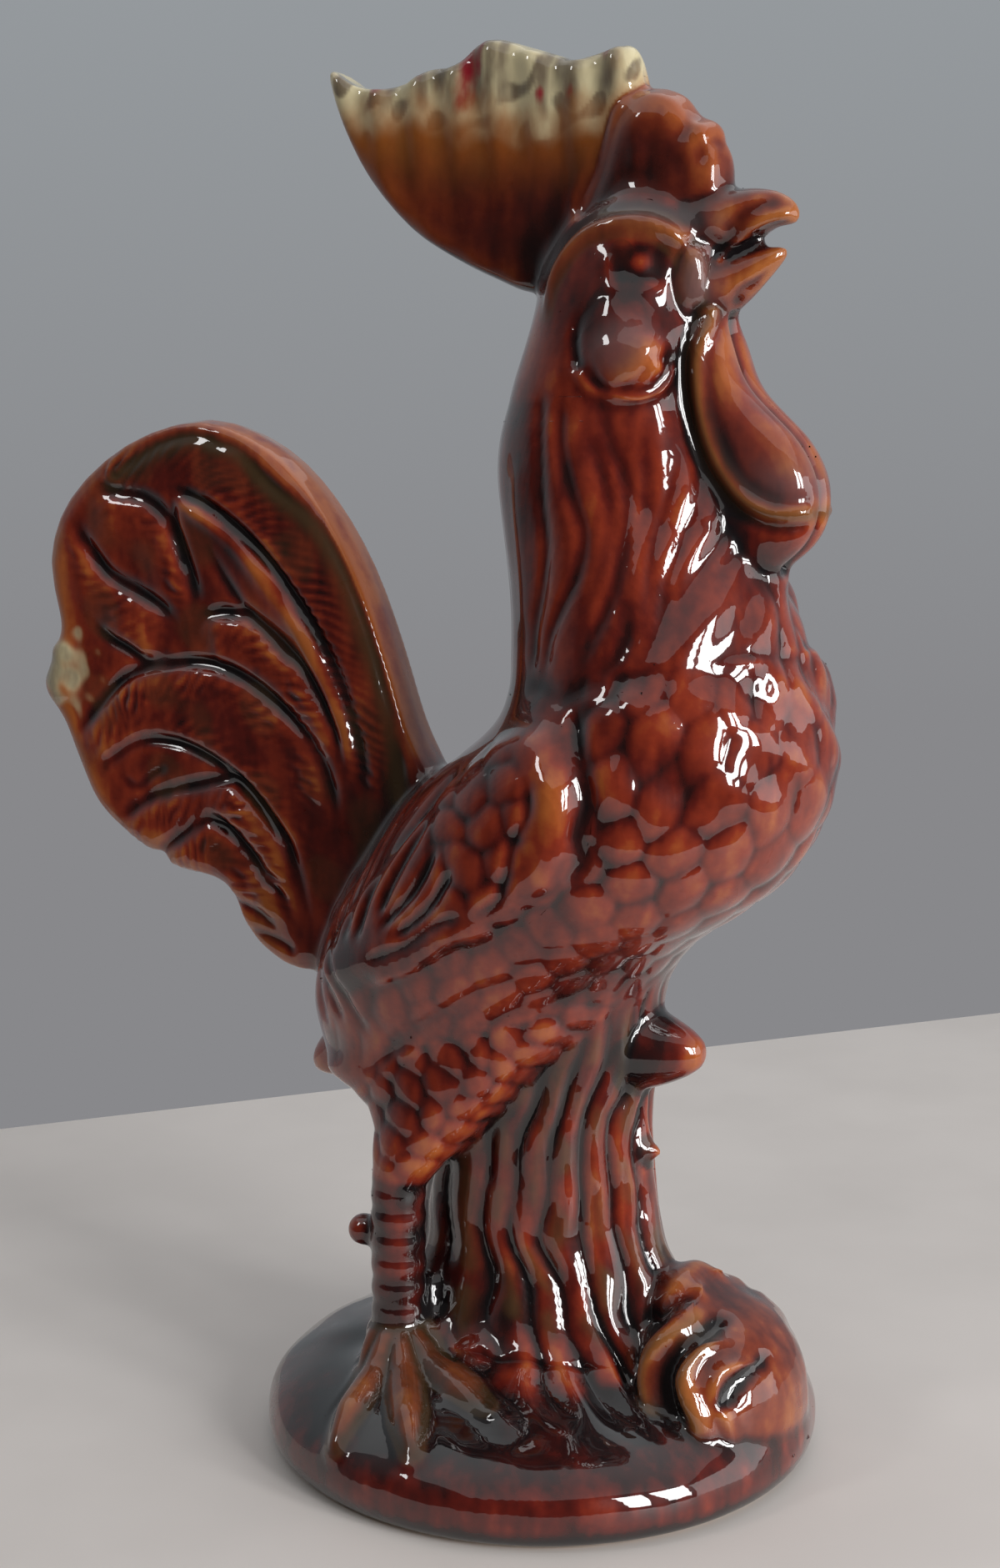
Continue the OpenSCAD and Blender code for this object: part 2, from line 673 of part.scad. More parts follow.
// Cutter for one groove in the face of the tail, shallow at both ends
module quill_cut(line) {
  last = (len(line) - 1) * 2;
  path = [for (s = [for (u = spread(0, last / 2, last)) along(line, u)])
    [tail_x - tail_l * s[0], tail_t / 2, tail_z + tail_h * s[1]]];
  loft([for (i = [0:last])
    let (ahead = unit(path[min(last, i + 1)] - path[max(0, i - 1)]),
      side = cross(ahead, [0, 1, 0]),
      swell = max(0.2, min(1, 4 * min(i, last - i) / last)))
    [for (corner = [[1, -0.6], [1, 1.4], [-1, 0]])
      path[i] + swell * ([0, quill_depth, 0] * corner[0] + side * quill_w * corner[1])]]);
}

module quill_cuts() {
  for (line = quill_lines) quill_cut(line);
}

module tail_fan() {
  color(glaze_red) difference() {
    tail_form(0);
    tail_form(tail_wall);
    quill_cuts();
    right_side() quill_cuts();
    loft(rings(torso, 0, neck_u, wide_n));
    tail_vent();
  }
}

module neck_shell() {
  color(glaze_red) difference() {
    loft(rings(torso, neck_u, head_u, wide_n));
    loft(rings(torso, neck_u - 0.5, head_u + 0.5, slim_n, shell_wall));
  }
}

module head_form() {
  loft(rings(torso, head_u, crown_u, wide_n));
}

module head_shell() {
  color(glaze_red) difference() {
    head_form();
    loft(rings(torso, head_u - 0.5, crown_u - 2, slim_n, shell_wall));
  }
}

// Outline of the comb blade in shares of its length and height, from the rear tip along the top
comb_shares = [[0, 0.93], [0.095, 0.843], [0.23, 0.833], [0.324, 0.888], [0.419, 0.90], [0.514, 0.99],
  [0.635, 0.947], [0.716, 0.91], [0.784, 0.882], [0.878, 0.908], [0.94, 0.92], [0.973, 0.80], [0.973, 0.49],
  [1.0, 0.196], [0.84, 0.06], [0.662, -0.01], [0.54, 0.045], [0.405, 0.137], [0.27, 0.26], [0.135, 0.47],
  [0.054, 0.686]];
comb_x = face_x - comb_back;
comb_z = crown_z - comb_root;
comb_heart = [comb_x + comb_l * 0.57, comb_z + comb_h * 0.53];

module comb_blade() {
  outline = closed_curve([for (s = comb_shares) [comb_x + comb_l * s[0], comb_z + comb_h * s[1]]], 3);
  color(glaze_cream) difference() {
    slab(outline, comb_heart, slab_layers(comb_t, 0.90, 0.965));
    head_form();
    lobe_form();
    loft(rings(torso, neck_u, head_u, wide_n));
  }
}

lobe_shares = [[0, 0.06], [0.1, 0.43], [0.23, 0.87], [0.45, 1.0], [0.645, 0.926], [0.74, 0.80], [0.87, 0.72],
  [0.95, 0.57], [0.98, 0.35], [0.95, 0.17], [0.84, -0.02], [0.45, -0.13]];
lobe_x = face_x - lobe_back;
lobe_z = crown_z - lobe_root;
lobe_heart = [lobe_x + lobe_l * 0.5, lobe_z + lobe_h * 0.4];

module lobe_form() {
  outline = closed_curve([for (s = lobe_shares) [lobe_x + lobe_l * s[0], lobe_z + lobe_h * s[1]]], 4);
  slab(outline, lobe_heart, slab_layers(lobe_t, 0.6, 0.88));
}

module comb_front() {
  color(glaze_dark) difference() {
    lobe_form();
    head_form();
    upper_beak_form();
  }
}

// Tapered form from the face forwards, in rows of shares: length, height over z, depth under z, half width
module beak_form(rows, l, z, h, w) {
  sides = 20;
  loft([for (u = spread(0, len(rows) - 1, (len(rows) - 1) * 2))
    let (row = along(rows, u), mid = (row[1] + row[2]) / 2, half = (row[1] - row[2]) / 2)
    [for (j = [0:sides - 1]) let (a = 360 * j / sides)
      [face_x + l * row[0], w / 2 * row[3] * cos(a), z + h * (mid + half * sin(a))]]]);
}

beak_z = face_z + beak_h * 0.08;
jaw_z = beak_z - jaw_drop;

module upper_beak_form() {
  beak_form([[0.18, 0.5, -0.5, 1], [0.46, 0.54, -0.42, 0.9], [0.69, 0.59, -0.2, 0.68],
    [0.86, 0.52, -0.04, 0.42], [0.97, 0.34, -0.03, 0.2], [1, 0.19, 0.05, 0.05]],
    beak_l, beak_z, beak_h, beak_w);
}

module upper_beak() {
  color(glaze_amber) difference() {
    upper_beak_form();
    head_form();
  }
}

module lower_beak_form() {
  beak_form([[0.14, 0, -1, 0.9], [0.44, 0.04, -0.93, 0.8], [0.71, 0.11, -0.57, 0.6], [0.92, 0.2, -0.1, 0.3],
    [1, 0.19, 0.09, 0.06]], jaw_l, jaw_z, jaw_h, beak_w);
}

module lower_beak() {
  color(glaze_amber) difference() {
    lower_beak_form();
    head_form();
  }
}

module tongue() {
  color(glaze_dark) difference() {
    beak_form([[0.14, 0.8, -0.2, 0.5], [0.57, 0.8, -0.2, 0.45], [0.8, 0.76, 0.1, 0.36], [1, 0.84, 0.48, 0.2]],
      tongue_l, jaw_z, tongue_t, beak_w);
    head_form();
    upper_beak_form();
    lower_beak_form();
  }
}

// Outline of a wattle in shares of its length and height, from the back of the throat
wattle_shares = [[0.05, 0.87], [0.14, 0.97], [0.31, 0.95], [0.39, 0.84], [0.47, 0.70], [0.66, 0.58],
  [0.85, 0.47], [0.98, 0.32], [0.98, 0.16], [0.87, 0.05], [0.67, -0.02], [0.45, 0.07], [0.24, 0.32],
  [0.08, 0.55], [0.01, 0.74]];
wattle_x = face_x + wattle_ahead;
wattle_z = beak_z - wattle_drop - wattle_h;
wattle_heart = [wattle_x + wattle_l * 0.4, wattle_z + wattle_h * 0.43];

module wattle_form() {
  outline = closed_curve(
    [for (s = wattle_shares) [wattle_x + wattle_l * s[0], wattle_z + wattle_h * s[1]]], 3);
  difference() {
    slab(outline, wattle_heart, [for (s = [[0, 0.97], [0.3, 1], [0.7, 0.95], [0.92, 0.84], [1, 0.68]])
      [wattle_t * s[0], s[1]]]);
    loft(rings(torso, neck_u, head_u, wide_n));
    head_form();
    lower_beak_form();
    loft(rings(torso, 0, neck_u, wide_n));
  }
}

module left_wattle() {
  color(glaze_red) wattle_form();
}

module right_wattle() {
  color(glaze_red) right_side() wattle_form();
}

module eye_form() {
  difference() {
    translate(face_point(2.36, 80, eye_sink)) sphere(d = eye_d, $fn = 40);
    head_form();
  }
}

module left_eye() {
  color(glaze_dark) eye_form();
}

module right_eye() {
  color(glaze_dark) right_side() eye_form();
}

// Route of the roll around the face: stations above the head seam, angle from the beak, share of thickness
brow_route = [[1.4, 124, 0.6], [1.9, 127, 0.9], [2.4, 124, 1], [2.85, 116, 1], [3.1, 96, 1], [3.1, 72, 1],
  [2.85, 53, 1], [2.5, 39, 0.95], [2.15, 29, 0.95], [1.65, 24, 1.1]];

module brow_form() {
  stops = spread(0, len(brow_route) - 1, (len(brow_route) - 1) * 2);
  path = [for (u = stops) let (stop = along(brow_route, u)) face_point(stop[0], stop[1], brow_d * 0.06)];
  difference() {
    roll(path, [for (u = stops) brow_d / 2 * along(brow_route, u)[2]]);
    head_form();
    lobe_form();
    upper_beak_form();
    lower_beak_form();
  }
}

module left_brow() {
  color(glaze_amber) brow_form();
}

module right_brow() {
  color(glaze_amber) right_side() brow_form();
}

module ear_form() {
  centre = face_point(1, 64);
  heart = [centre[0], centre[2]];
  outline = [for (a = [0:15:345]) heart + [ear_l / 2 * sin(a), ear_h / 2 * cos(a)]];
  difference() {
    slab(outline, heart, [for (s = [[-2, 1], [0, 1], [0.6, 0.9], [0.9, 0.74], [1, 0.55]])
      [centre[1] + ear_t * s[0], s[1]]]);
    head_form();
    loft(rings(torso, neck_u, head_u, wide_n));
  }
}

module left_ear_lobe() {
  color(glaze_red) ear_form();
}

module right_ear_lobe() {
  color(glaze_red) right_side() ear_form();
}

base_plinth();
grass_tuft();
upper_knot();
lower_knot();
leaf_scroll();
right_foot();
left_foot();
right_shank();
left_shank();
right_spur();
left_spur();
right_thigh();
left_thigh();
body_shell();
right_wing();
left_wing();
tail_fan();
neck_shell();
head_shell();
comb_blade();
comb_front();
upper_beak();
lower_beak();
tongue();
right_wattle();
left_wattle();
right_eye();
left_eye();
right_brow();
left_brow();
right_ear_lobe();
left_ear_lobe();
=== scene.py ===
"""Looks of a glazed ceramic rooster that stands on a round plinth.

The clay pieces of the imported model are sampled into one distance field, where their seams melt
together as slip and glaze make them do. The field is then cut apart again into one glazed skin for
each clay piece, feathers and folds are pressed into the skins, and the glazes are coloured by how
thick they lie: thin and amber on ridges, pooled and nearly black in hollows.
Lengths are millimetres, apart from the finished meshes, the table's outline and the lamps, in metres.
"""

import json
import logging
import math
from abc import ABC, abstractmethod
from collections.abc import Sequence
from dataclasses import dataclass, field
from enum import Enum

import bpy
import numpy as np
import openvdb as vdb
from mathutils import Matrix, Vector


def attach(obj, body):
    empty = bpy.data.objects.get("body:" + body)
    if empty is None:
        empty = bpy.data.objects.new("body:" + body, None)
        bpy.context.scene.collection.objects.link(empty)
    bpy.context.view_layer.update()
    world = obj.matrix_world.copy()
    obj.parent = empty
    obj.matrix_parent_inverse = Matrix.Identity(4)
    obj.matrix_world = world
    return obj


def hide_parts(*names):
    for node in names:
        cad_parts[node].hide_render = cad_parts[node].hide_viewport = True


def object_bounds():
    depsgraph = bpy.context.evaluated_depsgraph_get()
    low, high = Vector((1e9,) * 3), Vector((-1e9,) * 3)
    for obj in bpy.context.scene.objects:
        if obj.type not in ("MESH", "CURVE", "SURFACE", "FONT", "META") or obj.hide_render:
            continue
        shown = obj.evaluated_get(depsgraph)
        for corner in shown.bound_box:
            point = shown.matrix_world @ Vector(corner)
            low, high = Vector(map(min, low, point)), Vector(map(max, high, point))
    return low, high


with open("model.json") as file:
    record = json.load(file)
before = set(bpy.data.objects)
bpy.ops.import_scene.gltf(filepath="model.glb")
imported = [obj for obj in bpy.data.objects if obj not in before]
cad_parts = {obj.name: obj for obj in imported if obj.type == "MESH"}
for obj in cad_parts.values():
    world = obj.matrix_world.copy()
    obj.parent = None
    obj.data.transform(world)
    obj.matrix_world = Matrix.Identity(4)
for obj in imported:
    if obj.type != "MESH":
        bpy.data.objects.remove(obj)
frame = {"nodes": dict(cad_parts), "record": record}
CAD_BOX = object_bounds()

Array = np.ndarray
Points = Sequence[tuple[float, float]]
Colour = tuple[int, int, int]
Triple = tuple[float, float, float]
Socket = bpy.types.NodeSocket

LOG = logging.getLogger("rooster")
MM = 0.001
FAR_OFF = 99.0


def both(*parts: str) -> tuple[str, ...]:
    """Names of some clay pieces of the right side and of the left side."""
    return tuple(f"{side}_{part}" for part in parts for side in ("right", "left"))


def ramp(value: Array, low: float, high: float) -> Array:
    """Smooth step from 0 at low to 1 at high."""
    t = np.clip((value - low) / (high - low), 0.0, 1.0)
    return t * t * (3.0 - 2.0 * t)


def bell(value: Array, width: float) -> Array:
    """Bell curve with height 1 and that half width."""
    return np.exp(-((value / width) ** 2))


def furrows(turns: Array, sharpness: float = 0.7) -> Array:
    """Rounded ridges with narrow valleys at whole numbers, from 0 to 1."""
    return np.abs(np.sin(np.pi * turns)) ** sharpness


def wander(points: Array, size: float, phase: float = 0.0) -> Array:
    """Smooth hand-made unevenness, mostly between -1 and 1.

    Args:
        points: places, one row each.
        size: about how far apart two swellings are.
        phase: shifts the pattern, so that two uses differ.

    Returns:
        One number for each place.
    """
    total = np.zeros(len(points))
    for turn in range(5):
        angle = 2.4 * turn + phase
        way = np.array([math.cos(angle), math.sin(1.7 * angle), math.sin(angle)])
        total += np.sin(points @ way * (2.0 * np.pi / size) * (0.8 + 0.15 * turn) + 3.0 * angle)
    return total / 2.5


def smooth_line(points: Points, per_span: int = 4) -> Array:
    """Smooth curve through a few given points.

    Args:
        points: the points, two numbers each.
        per_span: pieces between two points.

    Returns:
        The points of the curve, one row each.
    """
    rows = np.array(points, float)
    padded = np.vstack([2 * rows[0] - rows[1], rows, 2 * rows[-1] - rows[-2]])
    made = []
    for a, b, c, d in zip(padded, padded[1:], padded[2:], padded[3:]):
        for t in np.arange(per_span) / per_span:
            made.append(0.5 * (2 * b + t * (c - a) + t * t * (2 * a - 5 * b + 4 * c - d)
                               + t ** 3 * (3 * b - a - 3 * c + d)))
    return np.array([*made, rows[-1]])


def trace(line: Array, x: Array, z: Array) -> tuple[Array, Array]:
    """Nearest place on a drawn line.

    Args:
        line: the points of the line.
        x: place of each tested point along the first axis.
        z: place of each tested point along the second axis.

    Returns:
        The length run along the line, and the gap to it, positive on its right as drawn.
    """
    best = np.full(x.shape, np.inf)
    run = np.zeros(x.shape)
    gap = np.zeros(x.shape)
    start = 0.0
    for (x0, z0), (x1, z1) in zip(line, line[1:]):
        dx, dz = x1 - x0, z1 - z0
        length = math.hypot(dx, dz)
        t = np.clip(((x - x0) * dx + (z - z0) * dz) / length ** 2, 0.0, 1.0)
        ex, ez = x - x0 - t * dx, z - z0 - t * dz
        away = ex * ex + ez * ez
        closer = away < best
        best = np.where(closer, away, best)
        run = np.where(closer, start + t * length, run)
        gap = np.where(closer, np.sign(dz * ex - dx * ez) * np.sqrt(away), gap)
        start += length
    return run, gap


def bubbles(across: Array, down: Array, width: float, length: float) -> Array:
    """Rows of rounded feathers like bubbles, each row set off by half a feather.

    Args:
        across: place across the rows.
        down: place along the lie of the feathers.
        width: width of a feather.
        length: distance between rows.

    Returns:
        Height from 0 in a valley to 1 on a feather.
    """
    row = np.floor(down / length)
    height = np.zeros(down.shape)
    for back in (-1, 0, 1):
        here = row + back
        side = across / width + 0.5 * np.mod(here, 2.0)
        side = 2.0 * (side - np.round(side))
        run = 1.25 * (down / length - here - 0.5)
        height = np.maximum(height, np.clip(1.0 - 0.75 * side ** 2 - run ** 2, 0.0, 1.0) ** 0.7)
    return height


@dataclass(frozen=True)
class Viewpoint:
    """The camera's place and lens, worked out from the proportions of the object."""

    place: Triple = (195.67, -419.62, 216.0)
    yaw_deg: float = -26.14
    pitch_deg: float = -8.96
    lens: float = 50.85
    sensor: float = 36.0
    near_clip: float = 10.0

    def set_up(self) -> None:
        """Make the camera and look through it."""
        data = bpy.data.cameras.new("view")
        data.lens = self.lens
        data.sensor_width = self.sensor
        data.clip_start = self.near_clip * MM
        camera = bpy.data.objects.new("view", data)
        yaw, pitch = math.radians(self.yaw_deg), math.radians(self.pitch_deg)
        ahead = Vector((math.sin(yaw) * math.cos(pitch), math.cos(yaw) * math.cos(pitch), math.sin(pitch)))
        camera.location = Vector(self.place) * MM
        camera.rotation_euler = ahead.to_track_quat("-Z", "Y").to_euler()
        bpy.context.scene.collection.objects.link(camera)
        bpy.context.scene.camera = camera


class Cut(Enum):
    """How a stroke shapes the clay."""

    GROOVE = "groove"
    RIDGE = "ridge"
    LAP = "lap"


@dataclass(frozen=True)
class Stroke:
    """A line pressed into the clay, seen from the side, alike on both sides of the rooster.

    A lap is the edge of a feather: a lip on the right of the line as drawn and a groove on its left.
    """

    cut: Cut
    height: float
    width: float
    line: Points
    taper: float = 6.0
    barb: float = 0.0
    barb_pitch: float = 3.0
    barb_reach: float = 8.0
    barb_slant: float = 0.9

    def press(self, x: Array, z: Array) -> Array:
        """Height that the stroke adds at each point.

        Args:
            x: place of each point along the rooster.
            z: height of each point over the table.

        Returns:
            Added height, below zero in a groove.
        """
        way = smooth_line(self.line)
        reach = max(4.0 * self.width, self.barb_reach if self.barb else 0.0)
        low, high = way.min(0) - reach, way.max(0) + reach
        near = np.flatnonzero((x > low[0]) & (x < high[0]) & (z > low[1]) & (z < high[1]))
        made = np.zeros(x.shape)
        if len(near):
            run, gap = trace(way, x[near], z[near])
            whole = float(np.hypot(*np.diff(way, axis=0).T).sum())
            ends = ramp(run, 0.0, self.taper) * ramp(whole - run, 0.0, self.taper)
            made[near] = ends * (self.height * self._profile(gap / self.width) + self._barbs(run, gap))
        return made

    def _profile(self, gap: Array) -> Array:
        """Height across the line.

        Args:
            gap: distance from the line, counted in widths.

        Returns:
            Height at each point, for a stroke of height 1.
        """
        if self.cut is Cut.GROOVE:
            return -bell(gap, 1.0)
        if self.cut is Cut.RIDGE:
            return bell(gap, 1.0)
        return 0.45 * bell(gap - 1.0, 0.9) + 0.7 * bell(gap - 2.6, 2.4) - 0.95 * bell(gap + 0.6, 0.8)

    def _barbs(self, run: Array, gap: Array) -> Array:
        """Slanting barbs on the right of the line.

        Args:
            run: length run along the line.
            gap: distance from the line.

        Returns:
            Added height at each point.
        """
        if not self.barb:
            return np.zeros(run.shape)
        place = run + self.barb_slant * gap + 0.7 * np.sin(0.45 * run) + 0.4 * np.sin(1.1 * run + 1.0)
        wave = np.cos(2.0 * np.pi * place / self.barb_pitch) * (0.65 + 0.35 * np.sin(0.31 * run + 2.0))
        reach = self.barb_reach
        return self.barb * wave * ramp(gap, 0.8, 2.4) * (1.0 - ramp(gap, 0.4 * reach, reach))


def grooves(depth: float, width: float, *lines: Points, taper: float = 6.0) -> list[Stroke]:
    """Some grooves of one depth and width."""
    return [Stroke(Cut.GROOVE, depth, width, line, taper) for line in lines]


def pressed(strokes: Sequence[Stroke], x: Array, z: Array) -> Array:
    """Sum of the heights of some strokes at each point."""
    return sum((stroke.press(x, z) for stroke in strokes), np.zeros(x.shape))


def box_blur(grid: Array, radius: int, passes: int = 3) -> Array:
    """Blur a grid with a box along each axis in turn.

    Args:
        grid: the values.
        radius: reach of the box in cells.
        passes: how many times to blur; three are close to a bell curve.

    Returns:
        A blurred copy.
    """
    made = grid.copy()
    for _ in range(passes):
        for axis in range(3):
            pad = [(0, 0)] * 3
            pad[axis] = (radius + 1, radius)
            total = np.cumsum(np.pad(made, pad, mode="edge"), axis=axis, dtype=np.float32)
            count = grid.shape[axis]
            high = np.take(total, range(2 * radius + 1, 2 * radius + 1 + count), axis)
            low = np.take(total, range(count), axis)
            made = (high - low) / (2 * radius + 1)
    return made


def grown(cells: Array) -> Array:
    """The marked cells of a grid and their six neighbours.

    Args:
        cells: the marked cells.

    Returns:
        A copy with the neighbours marked too.
    """
    made = cells.copy()
    for axis in range(3):
        ahead = [slice(None)] * 3
        behind = [slice(None)] * 3
        ahead[axis], behind[axis] = slice(1, None), slice(None, -1)
        made[tuple(ahead)] |= cells[tuple(behind)]
        made[tuple(behind)] |= cells[tuple(ahead)]
    return made


@dataclass
class Clay:
    """Distance field of all the clay pieces, on one grid.

    The hearts are places inside the hollows. Flows and calm are boxes, two corners and a reach in
    cells: a flow only fills creases, a calm box rounds off edges too.
    """

    pitch: float = 0.65
    band: int = 8
    fillet: int = 2
    fine_blur: int = 1
    broad_blur: int = 3
    hollow_blur: int = 4
    overlap: float = 1.6
    sink: float = 0.35
    reach: float = 4.0
    coarse: int = 3
    plug_r: float = 48.0
    plug_low: float = 2.5
    plug_high: float = 7.5
    hollow: tuple[str, ...] = ("tail_fan", "head_shell", "neck_shell", "body_shell", "grass_tuft",
                               "base_plinth")
    hearts: tuple[Triple, ...] = ((-74.0, 0.0, 160.0), (15.0, 0.0, 228.0), (20.0, 0.0, 195.0),
                                  (5.0, 0.0, 135.0), (-1.0, 0.0, 50.0), (0.0, 0.0, 13.0))
    broad: tuple[str, ...] = ("body_shell", "neck_shell", "head_shell", "base_plinth", "grass_tuft",
                              *both("thigh", "wing", "wattle"))
    flows: tuple[tuple[Triple, Triple, int], ...] = (
        ((-66.0, -66.0, 0.0), (33.0, 66.0, 34.0), 6),
        ((-8.0, -44.0, 6.0), (29.0, 44.0, 42.0), 10),
        ((-8.0, -44.0, 6.0), (29.0, 44.0, 42.0), 10),
        ((-60.0, -22.0, 6.0), (-6.0, 22.0, 40.0), 10),
        ((2.0, -30.0, 257.0), (34.0, 30.0, 294.0), 9),
        ((2.0, -30.0, 257.0), (34.0, 30.0, 294.0), 7),
        ((-8.0, -24.0, 238.0), (26.0, 24.0, 266.0), 5),
        ((8.0, -34.0, 70.0), (40.0, 34.0, 112.0), 10),
        ((10.0, -20.0, 84.0), (40.0, 20.0, 112.0), 10))
    calm: tuple[tuple[Triple, Triple, int], ...] = (
        ((28.0, 5.0, 10.0), (68.0, 66.0, 62.0), 6),
        ((11.0, -34.0, 230.0), (38.0, 34.0, 254.0), 5))
    soft_edge: float = 6.0
    parts: dict[str, tuple[Array, Array]] = field(default_factory=dict)

    def __post_init__(self) -> None:
        """Sample every piece, close the hollows and melt the seams."""
        self.far = self.band * self.pitch
        self.turn = vdb.createLinearTransform(voxelSize=self.pitch)
        self.low = np.floor(np.array(CAD_BOX[0]) / MM / self.pitch).astype(int) - self.band - 4
        high = np.ceil(np.array(CAD_BOX[1]) / MM / self.pitch).astype(int) + self.band + 4
        self.shape = tuple(high - self.low)
        for node in frame["nodes"]:
            self.parts[node] = self._sample(node)
        self._close_hollows()
        self._join()
        self._melt()

    def _sample(self, node: str) -> tuple[Array, Array]:
        """Sample one clay piece.

        Args:
            node: name of the clay piece.

        Returns:
            The lowest cell, and the distance of each cell from there on.
        """
        mesh = frame["nodes"][node].data
        places = np.empty(3 * len(mesh.vertices), np.float32)
        mesh.vertices.foreach_get("co", places)
        mesh.calc_loop_triangles()
        corners = np.empty(3 * len(mesh.loop_triangles), np.int32)
        mesh.loop_triangles.foreach_get("vertices", corners)
        grid = vdb.FloatGrid.createLevelSetFromPolygons(
            places.reshape(-1, 3) / np.float32(MM), triangles=corners.reshape(-1, 3).astype(np.uint32),
            transform=self.turn, halfWidth=float(self.band))
        low, high = (np.array(corner) for corner in grid.evalActiveVoxelBoundingBox())
        cells = np.empty(high - low + 1, np.float32)
        grid.copyToArray(cells, ijk=tuple(int(v) for v in low))
        return low, cells

    def _window(self, low: Array, cells: Array) -> tuple[slice, ...]:
        """Where a piece's cells lie in the whole grid."""
        return tuple(slice(a, a + n) for a, n in zip(low - self.low, cells.shape))

    def _close_hollows(self) -> None:
        """Fill the hollows of the castings, so that each skin has only its outer side."""
        union = np.full(self.shape, self.far, np.float32)
        for low, cells in self.parts.values():
            window = self._window(low, cells)
            union[window] = np.minimum(union[window], cells)
        step = self.coarse
        axes = [(self.low[i] + np.arange(0, self.shape[i], step)) * self.pitch for i in range(3)]
        x, y, z = np.meshgrid(*axes, indexing="ij", sparse=True)
        plug = (np.hypot(x, y) < self.plug_r) & (z > self.plug_low) & (z < self.plug_high)
        free = (union[::step, ::step, ::step] > 0.0) & ~plug
        shut = np.zeros(free.shape, bool)
        for heart in self.hearts:
            shut[tuple(((np.array(heart) / self.pitch - self.low) / step).round().astype(int))] = True
        count = 0
        while shut.sum() != count:
            count = shut.sum()
            shut = grown(shut) & free
        shut = grown(shut) | plug
        for axis, size in enumerate(self.shape):
            shut = np.take(np.repeat(shut, step, axis), range(size), axis)
        shut &= union > 0.0
        for node in self.hollow:
            low, cells = self.parts[node]
            window = self._window(low, cells)
            cells[shut[window]] = -self.far
            shut[window] = False

    def _join(self) -> None:
        """Find each cell's nearest piece and the two least distances."""
        self.first = np.full(self.shape, self.far, np.float32)
        self.second = np.full(self.shape, self.far, np.float32)
        self.owner = np.full(self.shape, -1, np.int8)
        for index, (low, cells) in enumerate(self.parts.values()):
            window = self._window(low, cells)
            first, second = self.first[window], self.second[window]
            closer = cells < first
            self.second[window] = np.where(closer, first, np.minimum(second, cells))
            self.first[window] = np.where(closer, cells, first)
            self.owner[window] = np.where(closer, index, self.owner[window])

    def _melt(self) -> None:
        """Fill creases with a fillet and smooth away the flats of the model."""
        names = list(self.parts)
        filled = np.minimum(self.first, box_blur(self.first, self.fillet))
        for low, high, cells in self.flows:
            window, weight = self._soft_box(low, high)
            raw = filled[window]
            filled[window] = np.minimum(raw, raw + weight * (box_blur(raw, cells) - raw))
        for low, high, cells in self.calm:
            window, weight = self._soft_box(low, high)
            raw = filled[window]
            filled[window] = raw + weight * (box_blur(raw, cells) - raw)
        broad = np.isin(self.owner, [names.index(node) for node in self.broad]).astype(np.float32)
        broad = box_blur(broad, self.broad_blur, 2)
        fine = box_blur(filled, self.fine_blur, 2)
        self.shell = fine + broad * (box_blur(filled, self.broad_blur) - fine)
        self.hollowness = box_blur(self.shell, self.hollow_blur)

    def _soft_box(self, low: Triple, high: Triple) -> tuple[tuple[slice, ...], Array]:
        """Where a box lies in the grid, and a weight that falls to 0 at the sides of the box.

        Args:
            low: lowest corner of the box.
            high: highest corner of the box.

        Returns:
            The window of the box and the weight of each cell in it.
        """
        first = np.maximum(np.floor(np.array(low) / self.pitch).astype(int) - self.low, 0)
        last = np.minimum(np.ceil(np.array(high) / self.pitch).astype(int) - self.low, self.shape)
        window = tuple(slice(a, b) for a, b in zip(first, last))
        weight = np.ones((1, 1, 1))
        for axis, part in enumerate(window):
            place = (self.low[axis] + np.arange(part.start, part.stop)) * self.pitch
            open_low = 0.0 if low[axis] else self.soft_edge
            inside = np.minimum(place - low[axis] + open_low, high[axis] - place)
            shape = [-1 if i == axis else 1 for i in range(3)]
            weight = weight * ramp(inside, 0.0, self.soft_edge).reshape(shape)
        return window, weight

    def _lookup(self, cells: Array, low: Array, points: Array) -> Array:
        """Values of a grid between its cells.

        Args:
            cells: the values.
            low: lowest cell of the grid.
            points: places to look at.

        Returns:
            One value for each place, the far distance outside the grid.
        """
        place = points / self.pitch - low
        base = np.floor(place).astype(int)
        inside = np.all((base >= 0) & (base < np.array(cells.shape) - 1), axis=1)
        made = np.full(len(points), self.far)
        base, part = base[inside], (place - base)[inside]
        total = np.zeros(len(base))
        for corner in np.ndindex(2, 2, 2):
            weight = np.prod(np.where(corner, part, 1.0 - part), axis=1)
            total += weight * cells[tuple((base + corner).T)]
        made[inside] = total
        return made

    def distance(self, node: str, points: Array) -> Array:
        """Distance of points from one clay piece."""
        low, cells = self.parts[node]
        return self._lookup(cells, low, points)

    def depth(self, points: Array) -> Array:
        """Distance of points from the melted skin."""
        return self._lookup(self.shell, self.low, points)

    def crease(self, points: Array) -> Array:
        """How far points lie in a crease, above 0, or on an edge, below 0."""
        return -self._lookup(self.hollowness, self.low, points)

    def outward(self, points: Array) -> Array:
        """Unit direction out of the clay at points.

        Args:
            points: places on the skin.

        Returns:
            One direction for each place.
        """
        steps = np.eye(3) * self.pitch
        slope = np.stack([self.depth(points + step) - self.depth(points - step) for step in steps], axis=1)
        return slope / np.maximum(np.linalg.norm(slope, axis=1, keepdims=True), 1e-6)

